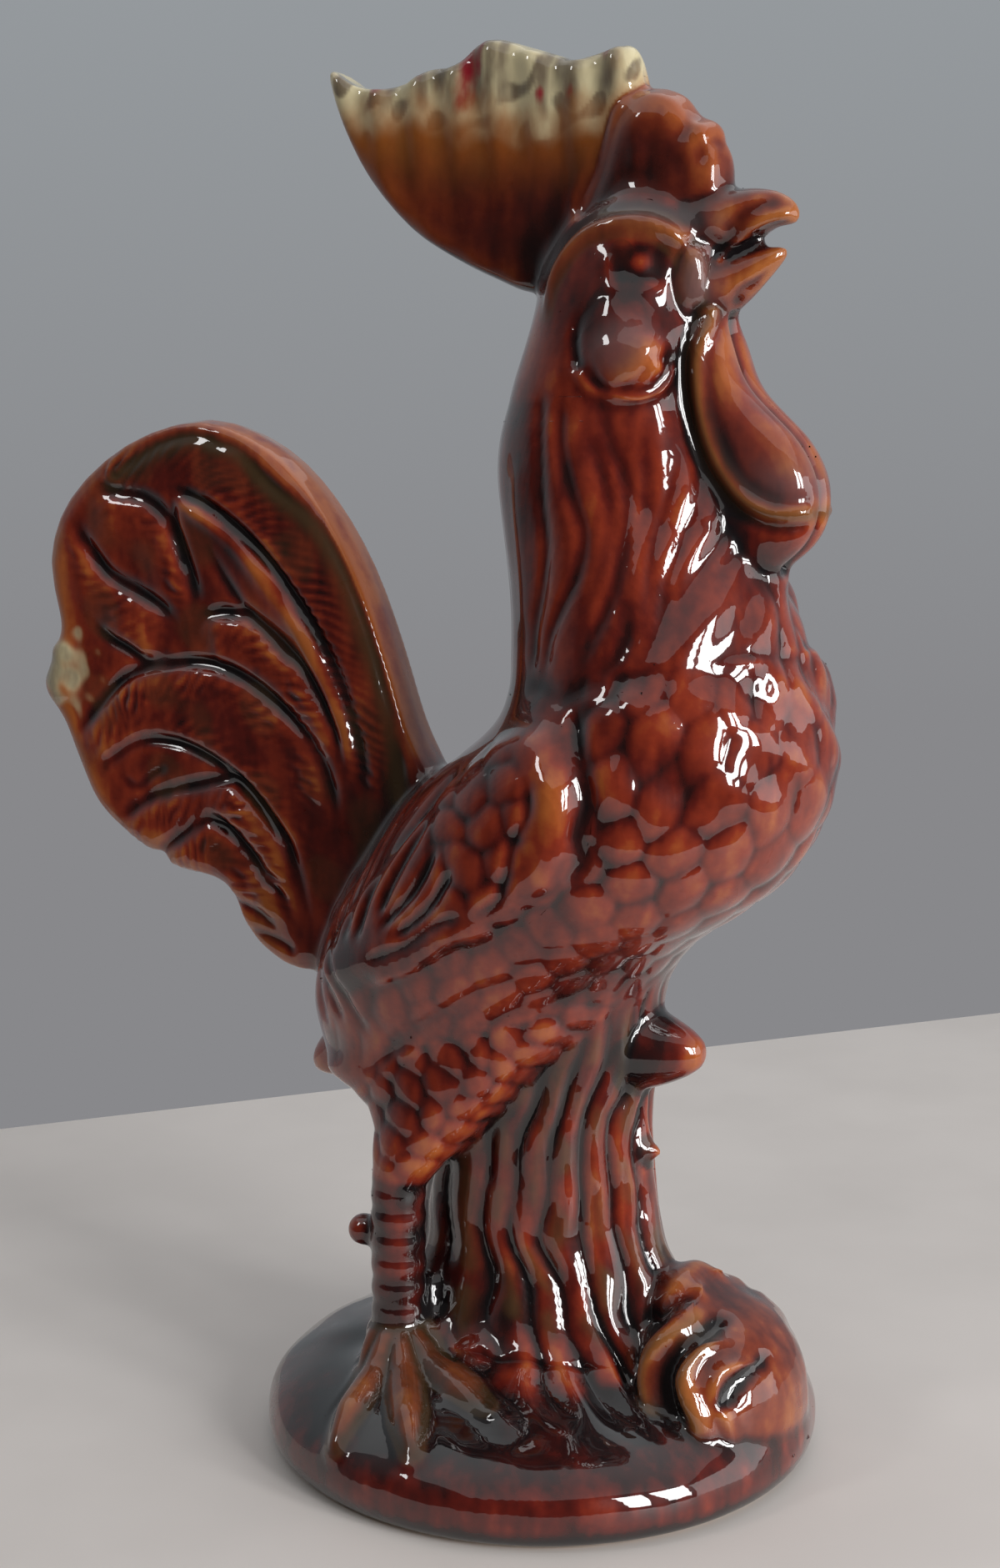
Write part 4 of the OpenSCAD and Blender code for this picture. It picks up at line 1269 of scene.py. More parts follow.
@dataclass
class Body(SubAssembly):
    """The body with its scaled breast, saddle feathers and wings."""

    centre_x: float = 5.0
    centre_z: float = 132.0
    tilt_deg: float = 22.0
    radius: float = 42.0
    scale_w: float = 10.5
    scale_l: float = 7.6
    covert_w: float = 9.5
    covert_l: float = 7.6
    edge: Points = ((-40.0, 95.0), (-22.0, 107.0), (-16.0, 109.5), (-10.0, 113.0), (-4.0, 117.5),
                    (2.0, 120.0), (7.0, 122.0), (14.0, 126.0), (22.0, 130.0), (24.5, 136.0),
                    (25.5, 143.0), (25.5, 150.0), (23.5, 157.0), (22.0, 163.0), (18.0, 172.0))

    @property
    def nodes(self) -> tuple[str, ...]:
        """Names of the clay pieces."""
        return ("body_shell", *both("wing"))

    def _breast(self, skin: Skin) -> Array:
        """Rounded scales that lie away from the neck.

        Args:
            skin: every point of the glazed skins.

        Returns:
            Height at each point, below 0 in the valleys.
        """
        tilt = math.radians(self.tilt_deg)
        x, z = skin.x - self.centre_x, skin.z - self.centre_z
        up = x * math.sin(tilt) + z * math.cos(tilt)
        ahead = x * math.cos(tilt) - z * math.sin(tilt)
        out = np.hypot(ahead, skin.side)
        down = self.radius * np.arctan2(out, up) + 1.0 * wander(skin.points, 34.0)
        across = self.radius * np.arctan2(skin.side, ahead) + 1.0 * wander(skin.points, 34.0, 2.0)
        edge_x, edge_z = np.array(self.edge).T
        front = ramp(skin.x - np.interp(skin.z, edge_z, edge_x), 0.0, 4.0)
        front *= 1.0 - ramp(skin.z, 164.0, 178.0)
        crop = ramp(skin.x, 30.0, 42.0) * ramp(skin.z, 138.0, 150.0)
        share = (0.5 + 0.5 * ramp(skin.z, 116.0, 132.0)) * (1.0 - 0.35 * crop) * front
        scales = bubbles(across, down, self.scale_w, self.scale_l) - 0.6
        return share * skin.on("body_shell") * scales

    def _coverts(self, skin: Skin) -> Array:
        """Rounded feathers on the shoulder of the wing.

        Args:
            skin: every point of the glazed skins.

        Returns:
            Height at each point, below 0 in the valleys.
        """
        warp = 1.0 * wander(skin.points, 18.0)
        across = skin.z + 0.3 * skin.x + warp
        down = -skin.x + 0.5 * skin.z + warp
        coverts = bubbles(across, down, self.covert_w, self.covert_l) - 0.6
        shoulder = 1.0 - ramp(skin.blob(3.0, 141.0, 14.0, 17.0), 0.8, 1.1)
        return coverts * shoulder * skin.on(*both("wing"), fade=1.2)

    def strokes(self) -> list[Stroke]:
        """Edges of the wing and its long feathers, and the saddle feathers.

        Returns:
            The strokes.
        """
        return [
            Stroke(Cut.GROOVE, 1.2, 1.8, [(21, 166), (23.5, 157), (25, 152), (26, 146), (25, 140),
                                          (25.5, 135), (23, 128)]),
            Stroke(Cut.RIDGE, 0.8, 3.4, [(20, 154), (20.5, 144), (19, 134), (15, 127)]),
            Stroke(Cut.RIDGE, 1.0, 1.6, [(8, 121), (2, 119), (-4, 116.5), (-10, 112), (-16, 108.5),
                                         (-24, 105)]),
            *grooves(0.9, 1.2,
                     [(15, 152), (15.5, 144), (12.5, 138), (11.5, 133), (9, 126), (3, 121.5)],
                     [(2, 122.5), (-5, 120), (-12, 115), (-18, 112), (-25, 109)]),
            *grooves(0.8, 1.5,
                     [(-44, 120), (-42, 110), (-38, 100), (-33, 92)],
                     [(-50, 118), (-48, 108), (-44, 98), (-40, 90)],
                     [(-38, 117), (-36, 107), (-31, 98), (-26, 91)]),
            *grooves(1.4, 1.3,
                     [(-7, 151), (-11, 145), (-15, 139), (-20, 132), (-24, 125), (-26, 118), (-27, 112)],
                     [(-8, 143), (-12, 137), (-16, 130), (-19, 124), (-21, 118)],
                     [(-5, 137), (-8, 131), (-12, 125), (-17, 120), (-21, 116)],
                     [(-1, 133), (-4, 127), (-8, 122), (-13, 118), (-18, 115)]),
            *grooves(1.0, 1.3,
                     [(-13, 153), (-19, 146), (-24, 138), (-28, 129), (-30, 120), (-31, 111)],
                     [(-19, 151), (-25, 144), (-29, 135), (-32, 126), (-34, 117), (-35, 108)],
                     [(-25, 149), (-30, 140), (-34, 131), (-37, 121), (-38, 111)],
                     [(-29, 147), (-34, 137), (-38, 127), (-41, 117)]),
        ]

    def relief(self, skin: Skin) -> Array:
        """Scales in front and below, bumps on the shoulder, long feathers behind.

        Args:
            skin: every point of the glazed skins.

        Returns:
            Added height at each point.
        """
        wing = skin.on(*both("wing"), fade=1.2)
        shell = skin.on("body_shell")
        lines = pressed(self.strokes(), skin.x, skin.z) * np.maximum(wing, shell)
        lines *= ramp(skin.side, 6.0, 14.0)
        lumps = 0.8 * wander(skin.points, 22.0, 1.0) * shell * ramp(skin.x, 22.0, 34.0)
        return 1.3 * self._breast(skin) + lines + self._coverts(skin) + lumps * ramp(skin.z, 138.0, 152.0)

    def tint(self, skin: Skin) -> Array:
        """Dark glaze on the saddle and the wings, and in the valleys between the scales.

        Args:
            skin: every point of the glazed skins.

        Returns:
            Extra thickness at each point.
        """
        pool = 0.5 * bell(skin.blob(-31.0, 107.0, 9.0, 7.0), 1.0) * skin.on(*self.nodes)
        wing = 0.35 * skin.on(*both("wing")) * (1.0 - ramp(skin.x, 10.0, 20.0))
        return pool + wing - 0.55 * self._breast(skin) - 0.5 * self._coverts(skin)


@dataclass
class Tail(SubAssembly):
    """The fan of sickle feathers."""

    rim: Points = ((-104.0, 207.0), (-92.0, 213.5), (-82.6, 215.9), (-76.0, 214.3), (-69.9, 212.4),
                   (-62.0, 205.3), (-51.5, 197.8), (-44.2, 187.6), (-39.3, 175.8), (-35.0, 163.7),
                   (-31.7, 151.0), (-30.0, 140.0))
    sickle: Points = ((-102.0, 207.5), (-88.0, 209.5), (-74.0, 205.0), (-62.0, 196.5), (-53.0, 185.0),
                      (-46.5, 172.0), (-41.0, 158.0), (-37.0, 144.0))
    barb_pitch: float = 2.7
    bump: tuple[float, float] = (-119.0, 162.5)

    @property
    def nodes(self) -> tuple[str, ...]:
        """Names of the clay pieces."""
        return ("tail_fan",)

    def strokes(self) -> list[Stroke]:
        """The feathers of the fan, from the outer sickle down to the lowest one.

        Returns:
            The strokes.
        """
        arches = [
            [(-83.5, 173.8), (-78.9, 175.7), (-74.1, 176.1), (-69.4, 175.8), (-65.3, 174.5), (-58.4, 168.8),
             (-52.7, 162.4), (-47.2, 152.9), (-44.0, 144.0)],
            [(-116.0, 146.0), (-110.0, 152.0), (-104.0, 158.5), (-97.0, 162.8), (-87.0, 164.6),
             (-78.3, 164.5), (-69.6, 161.8), (-61.4, 156.6), (-54.4, 150.3), (-49.7, 142.8), (-47.5, 132.0)],
            [(-106.0, 126.5), (-100.0, 130.4), (-95.4, 133.2), (-90.9, 134.9), (-83.1, 137.1),
             (-75.3, 138.9), (-71.4, 138.2), (-65.5, 132.6), (-60.1, 125.1), (-56.6, 115.0), (-54.5, 106.0)],
            [(-98.0, 117.0), (-91.0, 122.0), (-85.5, 126.0), (-80.5, 129.0), (-76.0, 128.5), (-72.5, 127.0),
             (-69.0, 123.0), (-66.0, 119.5), (-62.5, 115.5), (-60.0, 111.0), (-57.5, 105.0)],
        ]
        ribs = [
            [(-56.0, 121.0), (-58.0, 126.7), (-61.7, 131.0), (-69.2, 139.0), (-77.4, 144.6), (-87.3, 148.2),
             (-97.3, 148.1), (-105.8, 143.7), (-112.0, 138.5)],
            [(-61.7, 114.1), (-66.4, 121.5), (-69.7, 125.1), (-76.7, 131.2), (-82.2, 132.6)],
            [(-89.5, 169.0), (-94.8, 166.2), (-100.2, 168.9), (-105.1, 171.1), (-110.5, 174.5)],
        ]
        fans = [
            [(-110.5, 204.0), (-102.9, 202.2), (-95.6, 201.3), (-90.1, 197.2), (-86.8, 191.0),
             (-84.6, 185.9), (-81.5, 177.0)],
            [(-116.1, 197.4), (-110.9, 189.4), (-106.1, 184.2), (-98.4, 180.7), (-90.2, 176.3),
             (-86.5, 173.5)],
        ]
        outer = [(-88.7, 204.2), (-76.7, 198.8), (-65.2, 189.7), (-56.2, 179.9), (-49.3, 169.8),
                 (-43.6, 157.7), (-40.9, 146.5), (-40.0, 138.0)]
        shaft = [(-86.0, 201.2), (-81.3, 199.0), (-76.7, 196.0), (-69.4, 190.2), (-61.8, 181.2),
                 (-54.6, 173.3), (-49.5, 163.3), (-44.3, 152.7), (-42.0, 144.0)]
        fold = [(-80.0, 204.5), (-70.0, 198.5), (-61.0, 190.0), (-52.0, 178.0), (-45.0, 164.5),
                (-39.5, 150.0)]
        nick = [(-104.0, 139.0), (-99.0, 136.5), (-95.0, 139.5), (-90.0, 142.0)]
        return [
            Stroke(Cut.GROOVE, 0.7, 1.7, self.rim),
            Stroke(Cut.LAP, 0.9, 1.7, outer),
            Stroke(Cut.RIDGE, 0.8, 1.7, shaft),
            Stroke(Cut.RIDGE, 0.5, 1.4, fold),
            *grooves(0.8, 1.3,
                     [(-87.7, 204.0), (-87.2, 198.0), (-86.0, 191.0), (-84.0, 184.0)],
                     [(-79.5, 193.2), (-75.5, 186.9), (-72.0, 181.8), (-67.9, 176.6), (-62.0, 170.9),
                      (-56.0, 164.5)]),
            *[Stroke(Cut.LAP, 0.9, 2.0, line, 9.0, barb=0.42, barb_reach=10.0) for line in arches],
            *[Stroke(Cut.LAP, 0.7, 1.6, line, 9.0, barb=0.28, barb_reach=8.0) for line in ribs],
            *[Stroke(Cut.LAP, 0.8, 2.0, line, 8.0, barb=0.3, barb_reach=8.0) for line in fans],
            Stroke(Cut.GROOVE, 0.5, 1.0, nick, 3.0),
            *grooves(0.8, 1.3,
                     [(-76.0, 113.0), (-71.0, 111.8), (-66.0, 110.0), (-61.0, 107.0)],
                     [(-71.0, 105.5), (-66.0, 105.5), (-61.0, 104.0), (-57.0, 101.0)],
                     taper=3.0),
        ]

    def relief(self, skin: Skin) -> Array:
        """Feathers on both faces, with barbs along the outer sickle.

        Args:
            skin: every point of the glazed skins.

        Returns:
            Added height at each point.
        """
        rear = ramp(-skin.x, 78.0, 88.0) * (1.0 - ramp(skin.z, 146.0, 156.0))
        on_face = skin.on("tail_fan") * np.maximum(ramp(skin.flatness, 0.4, 0.75), rear)
        near = np.flatnonzero(on_face > 0.0)
        made = skin.blank()
        run, gap = trace(smooth_line(self.sickle), skin.x[near], skin.z[near])
        place = run + 0.9 * gap + 0.8 * wander(skin.points[near], 17.0)
        fade = 1.0 - ramp(np.abs(gap), 2.0, 6.0)
        patchy = 0.7 + 0.3 * wander(skin.points[near], 23.0, 2.0)
        barbs = 0.4 * np.cos(2.0 * np.pi * place / self.barb_pitch) * fade * patchy
        uneven = 1.0 + 0.3 * wander(skin.points[near], 21.0, 1.0)
        made[near] = barbs + uneven * pressed(self.strokes(), skin.x[near], skin.z[near])
        knob = 2.0 * bell(skin.blob(-120.0, 166.5, 5.0, 3.6), 1.0)
        knob += 1.7 * bell(skin.blob(-119.0, 158.5, 5.0, 3.4), 1.0)
        return on_face * made + knob * skin.on("tail_fan")

    def _band(self, skin: Skin) -> Array:
        """The band along the rim, from 0 to 1."""
        return bell(skin.gap(self.rim, "tail_fan") - 1.0, 2.6) * ramp(skin.flatness, 0.3, 0.6)

    @staticmethod
    def _rear(skin: Skin, start: float, end: float) -> Array:
        """The rear edge of the fan, from 0 to 1 between two distances behind the middle."""
        return ramp(-skin.x - 0.12 * (skin.z - 160.0), start, end)

    def tint(self, skin: Skin) -> Array:
        """A dark band along the rim, thin glaze on the rear edge, and thin glaze plus painted sheen on the
        front edge.

        Args:
            skin: every point of the glazed skins.

        Returns:
            Extra thickness at each point.
        """
        edge = self._rear(skin, 111.0, 122.0) * (1.0 - ramp(skin.z, 186.0, 198.0))
        # Painted sheen, partly: the front edge is made lighter for the pinkish sheen it catches as well as
        # for thin glaze on the edge.
        front = (1.0 - ramp(skin.flatness, 0.2, 0.5)) * ramp(skin.x + 0.5 * skin.z, 20.0, 40.0)
        return (0.95 * self._band(skin) + 0.02 - 0.9 * edge - 0.4 * front) * skin.on("tail_fan")

    def runs(self, skin: Skin) -> dict[str, Array]:
        """Pale glaze on the bump, honey along the rear edge and an olive cast on the rim.

        Args:
            skin: every point of the glazed skins.

        Returns:
            Shares from 0 to 1, by the names of the glazes.
        """
        near = skin.on("tail_fan")
        uneven = 0.3 * wander(skin.points, 6.0)
        bump = 1.0 - ramp(skin.blob(*self.bump, 8.5, 10.0) + uneven, 0.2, 1.2)
        edge = self._rear(skin, 114.0, 124.0) * (1.0 - ramp(skin.z, 182.0, 196.0))
        olive = 0.2 * ramp(wander(skin.points, 19.0, 3.0), 0.0, 0.8) * ramp(skin.flatness, 0.4, 0.7)
        return {"cream": 0.85 * bump * near, "honey": 0.6 * np.maximum(edge, bump) * near,
                "drip": 0.6 * bump * near, "moss": np.maximum(0.5 * self._band(skin), olive) * near}


@dataclass
class Neck(SubAssembly):
    """The hackle: long strands from the head to the breast."""

    strand_n: float = 12.0
    lean: Points = ((150.0, 24.0), (169.0, 26.0), (195.0, 19.0), (221.0, 14.0), (240.0, 16.0))
    hem: Points = ((0.0, 165.0), (14.0, 166.0), (33.0, 167.5), (45.0, 172.0))
    throat: Points = ((236.0, 38.4), (226.0, 37.2), (219.5, 38.3), (212.4, 40.8), (206.0, 45.0),
                      (198.0, 52.0))

    @property
    def nodes(self) -> tuple[str, ...]:
        """Names of the clay pieces."""
        return ("neck_shell",)

    def strokes(self) -> list[Stroke]:
        """Creases of the nape, soft strands of the side and the hem over the breast.

        Returns:
            The strokes.
        """
        return [
            *grooves(0.9, 1.6,
                     [(8, 226), (8, 220), (8.5, 213), (9.5, 203), (11, 195), (10.5, 186), (9, 178),
                      (9, 168)],
                     [(12.5, 224), (13, 215), (15, 208), (17.5, 202), (19.5, 197), (19, 190), (16, 183),
                      (13, 176), (12.5, 168)]),
            *grooves(0.9, 1.6,
                     [(20.5, 221), (24, 214), (27, 206), (28, 199), (27.5, 190), (26, 183), (23, 176),
                      (21.5, 169)],
                     [(27.5, 190), (30, 182), (30, 176), (26.5, 170.5), (22, 169)],
                     [(36, 226), (37.5, 215), (38.5, 205), (38, 196), (36.5, 188), (37, 179), (35, 171)],
                     taper=14.0),
            *grooves(0.7, 1.5,
                     [(17, 221), (20, 214), (23, 207), (25, 200), (25, 193), (22, 186)],
                     [(25, 220), (28, 214), (30.5, 206), (31, 199), (31, 190)],
                     [(30, 220), (32, 215), (34, 208), (34, 200), (33.5, 192), (34, 183), (33, 175)],
                     [(40, 224), (42, 214), (43.5, 205), (44, 198), (42, 191), (41, 184)],
                     [(46, 210), (47, 203), (47.5, 197), (45.5, 190), (46, 183)],
                     [(51, 203), (52, 197), (51, 190), (53, 183), (52, 176)],
                     taper=14.0),
            Stroke(Cut.GROOVE, 0.8, 2.2, [(6, 165), (12, 167), (18, 165.5), (24, 168), (30, 166.5)]),
            Stroke(Cut.RIDGE, 0.6, 2.4, [(3, 212), (3.5, 200), (5, 188), (6, 176)]),
        ]

    def relief(self, skin: Skin) -> Array:
        """Strands drawn on the sides, and worked out by angle on the throat and the nape.

        Args:
            skin: every point of the glazed skins.

        Returns:
            Added height at each point.
        """
        gate = skin.on("neck_shell", "body_shell", "head_shell")
        sideways = ramp(skin.flatness, 0.25, 0.6)
        lines = 0.85 * pressed(self.strokes(), skin.x, skin.z) * ramp(skin.side, 5.0, 12.0)
        lean = np.interp(skin.z, *np.array(self.lean).T)
        turn = np.arctan2(skin.side, skin.x - lean) / np.pi
        place = self.strand_n * (turn + 0.03 * wander(skin.points, 40.0))
        length = ramp(skin.z, 162.0, 172.0) * (1.0 - ramp(skin.z, 212.0, 230.0))
        strands = 0.7 * (furrows(place) - 0.6) * length * (1.0 - sideways)
        lumps = 0.8 * wander(skin.points, 19.0, 2.0) * ramp(skin.x, 30.0, 42.0) * bell(skin.z - 180.0, 16.0)
        high, ahead = np.array(self.throat[::-1]).T
        full = 0.24 * np.clip(skin.x - np.interp(skin.z, high, ahead) + 17.0, 0.0, 17.0)
        full *= ramp(skin.side, 8.0, 14.0)
        full *= ramp(skin.z, 188.0, 204.0) * (1.0 - ramp(skin.z, 222.0, 236.0))
        return gate * (lines + strands + lumps + full)

    def tint(self, skin: Skin) -> Array:
        """Dark glaze caught under the hem of the hackle and on the nape.

        Args:
            skin: every point of the glazed skins.

        Returns:
            Extra thickness at each point.
        """
        hem = np.interp(skin.x, *np.array(self.hem).T)
        dark = 0.45 * bell(skin.z - hem, 4.0) * (1.0 - ramp(skin.x, 18.0, 34.0))
        nape = 0.35 * (1.0 - ramp(skin.x, 5.0, 10.0)) * ramp(skin.z, 168.0, 176.0)
        return (dark + nape) * skin.on("neck_shell", "body_shell") * (1.0 - skin.on("tail_fan"))


@dataclass
class Head(SubAssembly):
    """The head with its eyes, brows and ear lobes."""

    eye: tuple[float, float] = (27.0, 249.0)
    ear: tuple[float, float] = (23.5, 234.0)
    drop: tuple[float, float] = (37.6, 245.0)
    socket_half: tuple[float, float] = (5.4, 3.6)
    ear_half: tuple[float, float] = (8.0, 9.0)
    drop_half: tuple[float, float] = (4.6, 7.6)
    rim: Points = ((15.5, 230.0), (18.0, 226.0), (22.0, 224.0), (27.0, 224.0), (31.0, 227.0), (32.5, 231.0))
    seam: Points = ((3.0, 249.0), (7.0, 253.0), (13.0, 257.5), (20.0, 259.5), (28.0, 259.0), (34.0, 257.5),
                    (40.0, 257.0))

    @property
    def nodes(self) -> tuple[str, ...]:
        """Names of the clay pieces."""
        return ("head_shell", *both("eye", "brow", "ear_lobe"))

    def _socket(self, skin: Skin) -> Array:
        """Distance from the eye, counted in the half sides of its squarish recess.

        Args:
            skin: every point of the glazed skins.

        Returns:
            One distance for each point.
        """
        x = (skin.x - self.eye[0]) / self.socket_half[0]
        z = (skin.z - self.eye[1]) / self.socket_half[1]
        return (x ** 4 + z ** 4) ** 0.25

    def relief(self, skin: Skin) -> Array:
        """A recess around the eye, a drop in front of it and a rim under the ear lobe.

        Args:
            skin: every point of the glazed skins.

        Returns:
            Added height at each point.
        """
        side = ramp(skin.side, 4.0, 9.0)
        eye = 0.7 * bell(skin.blob(*self.eye, 2.2, 2.2), 1.0)
        socket = eye - 1.0 * (1.0 - ramp(self._socket(skin), 0.2, 1.6))
        fold = Stroke(Cut.RIDGE, 0.5, 1.4, [(20.5, 252), (21, 248), (22.5, 244), (24, 242)], 3.0)
        drop = skin.blob(*self.drop, *self.drop_half)
        bead = 1.9 * np.sqrt(np.clip(1.0 - drop ** 2, 0.0, 1.0)) - 0.4 * bell(drop - 1.12, 0.14)
        lobe = skin.blob(*self.ear, *self.ear_half)
        low = ramp(self.ear[1] - skin.z - 0.4 * (skin.x - self.ear[0]), -5.0, 5.0)
        ball = 0.8 * np.clip(1.0 - lobe ** 2, 0.0, 1.0) - 0.8 * low * bell(lobe - 1.08, 0.14)
        rim = Stroke(Cut.RIDGE, 1.3, 1.3, self.rim, 3.0)
        small = 0.4 * bell(skin.blob(32.0, 234.0, 3.4, 4.0), 1.0)
        gate = skin.on("head_shell", "neck_shell", *both("ear_lobe", "brow"))
        front = np.maximum(gate, skin.on("upper_beak", "lower_beak"))
        eyes = skin.on("head_shell", *both("eye", "brow"))
        lines = fold.press(skin.x, skin.z) + rim.press(skin.x, skin.z)
        return side * (eyes * socket + front * bead + gate * (ball + small + lines))

    def tint(self, skin: Skin) -> Array:
        """Dark glaze in the crease under the comb, in the recess, on the drop and on the ear lobes.

        Args:
            skin: every point of the glazed skins.

        Returns:
            Extra thickness at each point.
        """
        seam = 0.9 * bell(skin.gap(self.seam, "head_shell"), 1.6)
        side = ramp(skin.side, 4.0, 9.0)
        drop = 0.2 * (1.0 - ramp(skin.blob(*self.drop, *self.drop_half), 0.7, 1.2)) * side
        eye = skin.blob(*self.eye, 1.8, 1.8)
        socket = (1.0 - ramp(self._socket(skin), 0.8, 1.2)) * side
        socket *= 0.5 * ramp(eye, 0.7, 1.3) - 0.3 * bell(eye, 0.8)
        on_head = skin.on("head_shell", "comb_blade", "comb_front", *both("brow", "eye"))
        ears = 0.3 * skin.on(*both("ear_lobe"), fade=1.0)
        return (seam + drop + socket) * on_head + ears

    def runs(self, skin: Skin) -> dict[str, Array]:
        """An olive cast on the brows, and a painted reflection veil in the seam, on the drop and on the ear
        lobes.

        Args:
            skin: every point of the glazed skins.

        Returns:
            Shares from 0 to 1, by the names of the glazes.
        """
        # Painted reflection: a pinkish-grey veil along the seam under the comb, and on the drop and the ear
        # lobes below.
        veiled = 0.3 * bell(skin.gap(self.seam, "head_shell", "comb_blade", "upper_beak"), 2.2)
        drop = 0.65 * (1.0 - ramp(skin.blob(*self.drop, *self.drop_half), 0.6, 1.2))
        ear = 0.5 * (1.0 - ramp(skin.blob(self.ear[0] + 1.0, self.ear[1] - 1.0, 7.5, 7.0), 0.4, 1.1))
        face = np.maximum(drop, ear) * ramp(skin.side, 4.0, 9.0) * (1.0 - skin.on(*both("wattle")))
        return {"moss": 0.35 * skin.on(*both("brow"), fade=1.0), "reflection_veil": np.maximum(veiled, face)}


@dataclass(frozen=True)
class Run:
    """A streak of pale glaze that ran down the comb from its edge."""

    x: float
    width: float
    low: float
    high: float = 300.0

    def share(self, skin: Skin) -> Array:
        """How much of the streak lies at each point.

        Args:
            skin: every point of the glazed skins.

        Returns:
            A share from 0 to 1 for each point.
        """
        sway = 0.5 * np.sin(0.3 * skin.z + self.x)
        across = bell(skin.x - self.x - sway, 2.0 * self.width)
        return 0.75 * across * ramp(skin.z, self.low - 3.0, self.low + 5.0) * (
            1.0 - ramp(skin.z, self.high - 3.0, self.high + 1.0))


@dataclass
class Comb(SubAssembly):
    """The comb: a tall blade behind and two thick lobes in front."""

    fold_pitch: float = 9.0
    fold_depth: float = 0.4
    seam: Points = ((21.3, 282.3), (16.1, 272.1), (9.5, 258.2))
    cream_line: Points = ((-50.0, 282.0), (-43.0, 281.5), (-36.0, 281.0), (-30.0, 282.5), (-20.0, 281.5),
                          (-15.0, 279.5), (-10.0, 281.0), (-5.0, 279.0), (0.0, 277.5), (3.0, 277.0),
                          (6.0, 279.5), (14.0, 279.5), (20.0, 283.0))
    grey: tuple[Run, ...] = (Run(-34.5, 1.2, 280.5), Run(-26.0, 1.0, 279.5), Run(-22.0, 2.2, 283.5),
                             Run(-10.5, 0.9, 280.0), Run(-7.3, 1.0, 280.5), Run(1.6, 0.9, 276.0),
                             Run(8.0, 1.2, 277.0), Run(7.0, 2.4, 283.0), Run(15.5, 1.5, 280.0),
                             Run(-18.5, 1.0, 278.0), Run(-13.5, 1.4, 279.0))
    red: tuple[Run, ...] = (Run(-36.5, 1.3, 283.5), Run(-27.3, 1.1, 285.5), Run(-16.0, 1.7, 278.5),
                            Run(-12.6, 0.9, 285.5), Run(1.4, 0.8, 279.5, 286.0),
                            Run(8.2, 0.8, 279.5, 286.0), Run(14.5, 0.9, 287.0), Run(-9.0, 1.2, 293.5),
                            Run(3.5, 1.6, 292.5))

    @property
    def nodes(self) -> tuple[str, ...]:
        """Names of the clay pieces."""
        return ("comb_blade", "comb_front")

    def relief(self, skin: Skin) -> Array:
        """Soft upright folds, deepest at the top, and folds in the front lobes.

        Args:
            skin: every point of the glazed skins.

        Returns:
            Added height at each point.
        """
        blade = skin.on("comb_blade") * ramp(skin.flatness, 0.3, 0.8)
        fold = np.cos(2.0 * np.pi * (skin.x + 0.12 * (skin.z - 280.0)) / self.fold_pitch)
        high = ramp(skin.z, 262.0, 288.0)
        folds = [
            Stroke(Cut.GROOVE, 0.8, 1.9, [(34.5, 278.5), (33.5, 275.5), (32, 273), (29, 272.5)], 4.0),
            Stroke(Cut.GROOVE, 0.7, 1.8, [(41.5, 273.5), (38.5, 272.5), (36.5, 270.5), (36.5, 266)], 4.0),
            Stroke(Cut.RIDGE, 0.5, 2.8, [(23, 281), (23, 274), (24.5, 266)], 4.0),
            *grooves(0.3, 1.6, [(29.5, 272), (33, 267), (34, 260)], [(26, 276), (26, 268), (27.5, 261)]),
        ]
        sunk = -1.0 * (1.0 - ramp(skin.x, 8.0, 27.0)) * ramp(skin.side, 1.0, 5.0)
        lobes = skin.on("comb_front") * (sunk + 0.5 * bell(skin.blob(29.5, 279.5, 5.0, 4.2), 1.0)
                                         + 0.5 * bell(skin.blob(37.0, 274.5, 4.2, 3.4), 1.0)
                                         + 0.4 * bell(skin.blob(40.0, 267.0, 4.0, 4.6), 1.0)
                                         + pressed(folds, skin.x, skin.z))
        swell = 0.6 * ramp(skin.x, -6.0, 14.0) * ramp(skin.z, 252.0, 262.0)
        swell *= 1.0 - ramp(skin.z, 282.0, 291.0)
        flush = swell * skin.on("comb_blade") * ramp(skin.flatness, 0.05, 0.3)
        return blade * self.fold_depth * fold * (0.25 + high) + flush + lobes

    def tint(self, skin: Skin) -> Array:
        """Darker glaze low on the blade and its edges, thin glaze in the seam, and thin glaze plus painted
        light on the front crest.

        Args:
            skin: every point of the glazed skins.

        Returns:
            Extra thickness at each point.
        """
        edge = 1.3 * (1.0 - ramp(skin.flatness, 0.35, 0.85)) * (1.0 - ramp(skin.z, 266.0, 282.0))
        low = 0.42 * (1.0 - ramp(skin.z, 244.0, 273.0)) + edge - 0.1
        seam = 0.7 * bell(skin.gap(self.seam, "comb_blade", "comb_front"), 2.4)
        # Painted light, partly: the tops of the front lobes are made lighter for the light falling on them
        # as well as for thin glaze on the crest.
        crest = 0.35 * skin.on("comb_front") * ramp(skin.z, 268.0, 280.0)
        return low * skin.on("comb_blade") - crest - seam

    def runs(self, skin: Skin) -> dict[str, Array]:
        """Cream on the upper edge with grey and red streaks, and honey below it.

        Args:
            skin: every point of the glazed skins.

        Returns:
            Shares from 0 to 1, by the names of the glazes.
        """
        blade = skin.on("comb_blade") * (1.0 - skin.on("head_shell", "comb_front", fade=1.0))
        line = np.interp(skin.x, *np.array(self.cream_line).T)
        grey = np.max([run.share(skin) for run in self.grey], axis=0)
        red = np.max([run.share(skin) for run in self.red], axis=0)
        cream = np.clip((skin.z - line + 1.2 * wander(skin.points, 9.0)) / 15.0 + 0.5, 0.0, 1.0)
        grey = np.maximum(grey, 0.7 * ramp(wander(skin.points, 9.0, 2.0), -0.1, 0.8))
        honey = 0.9 * ramp(skin.z, 261.0, 286.0)
        return {"cream": blade * cream, "drip": blade * grey, "berry": blade * red, "honey": blade * honey}


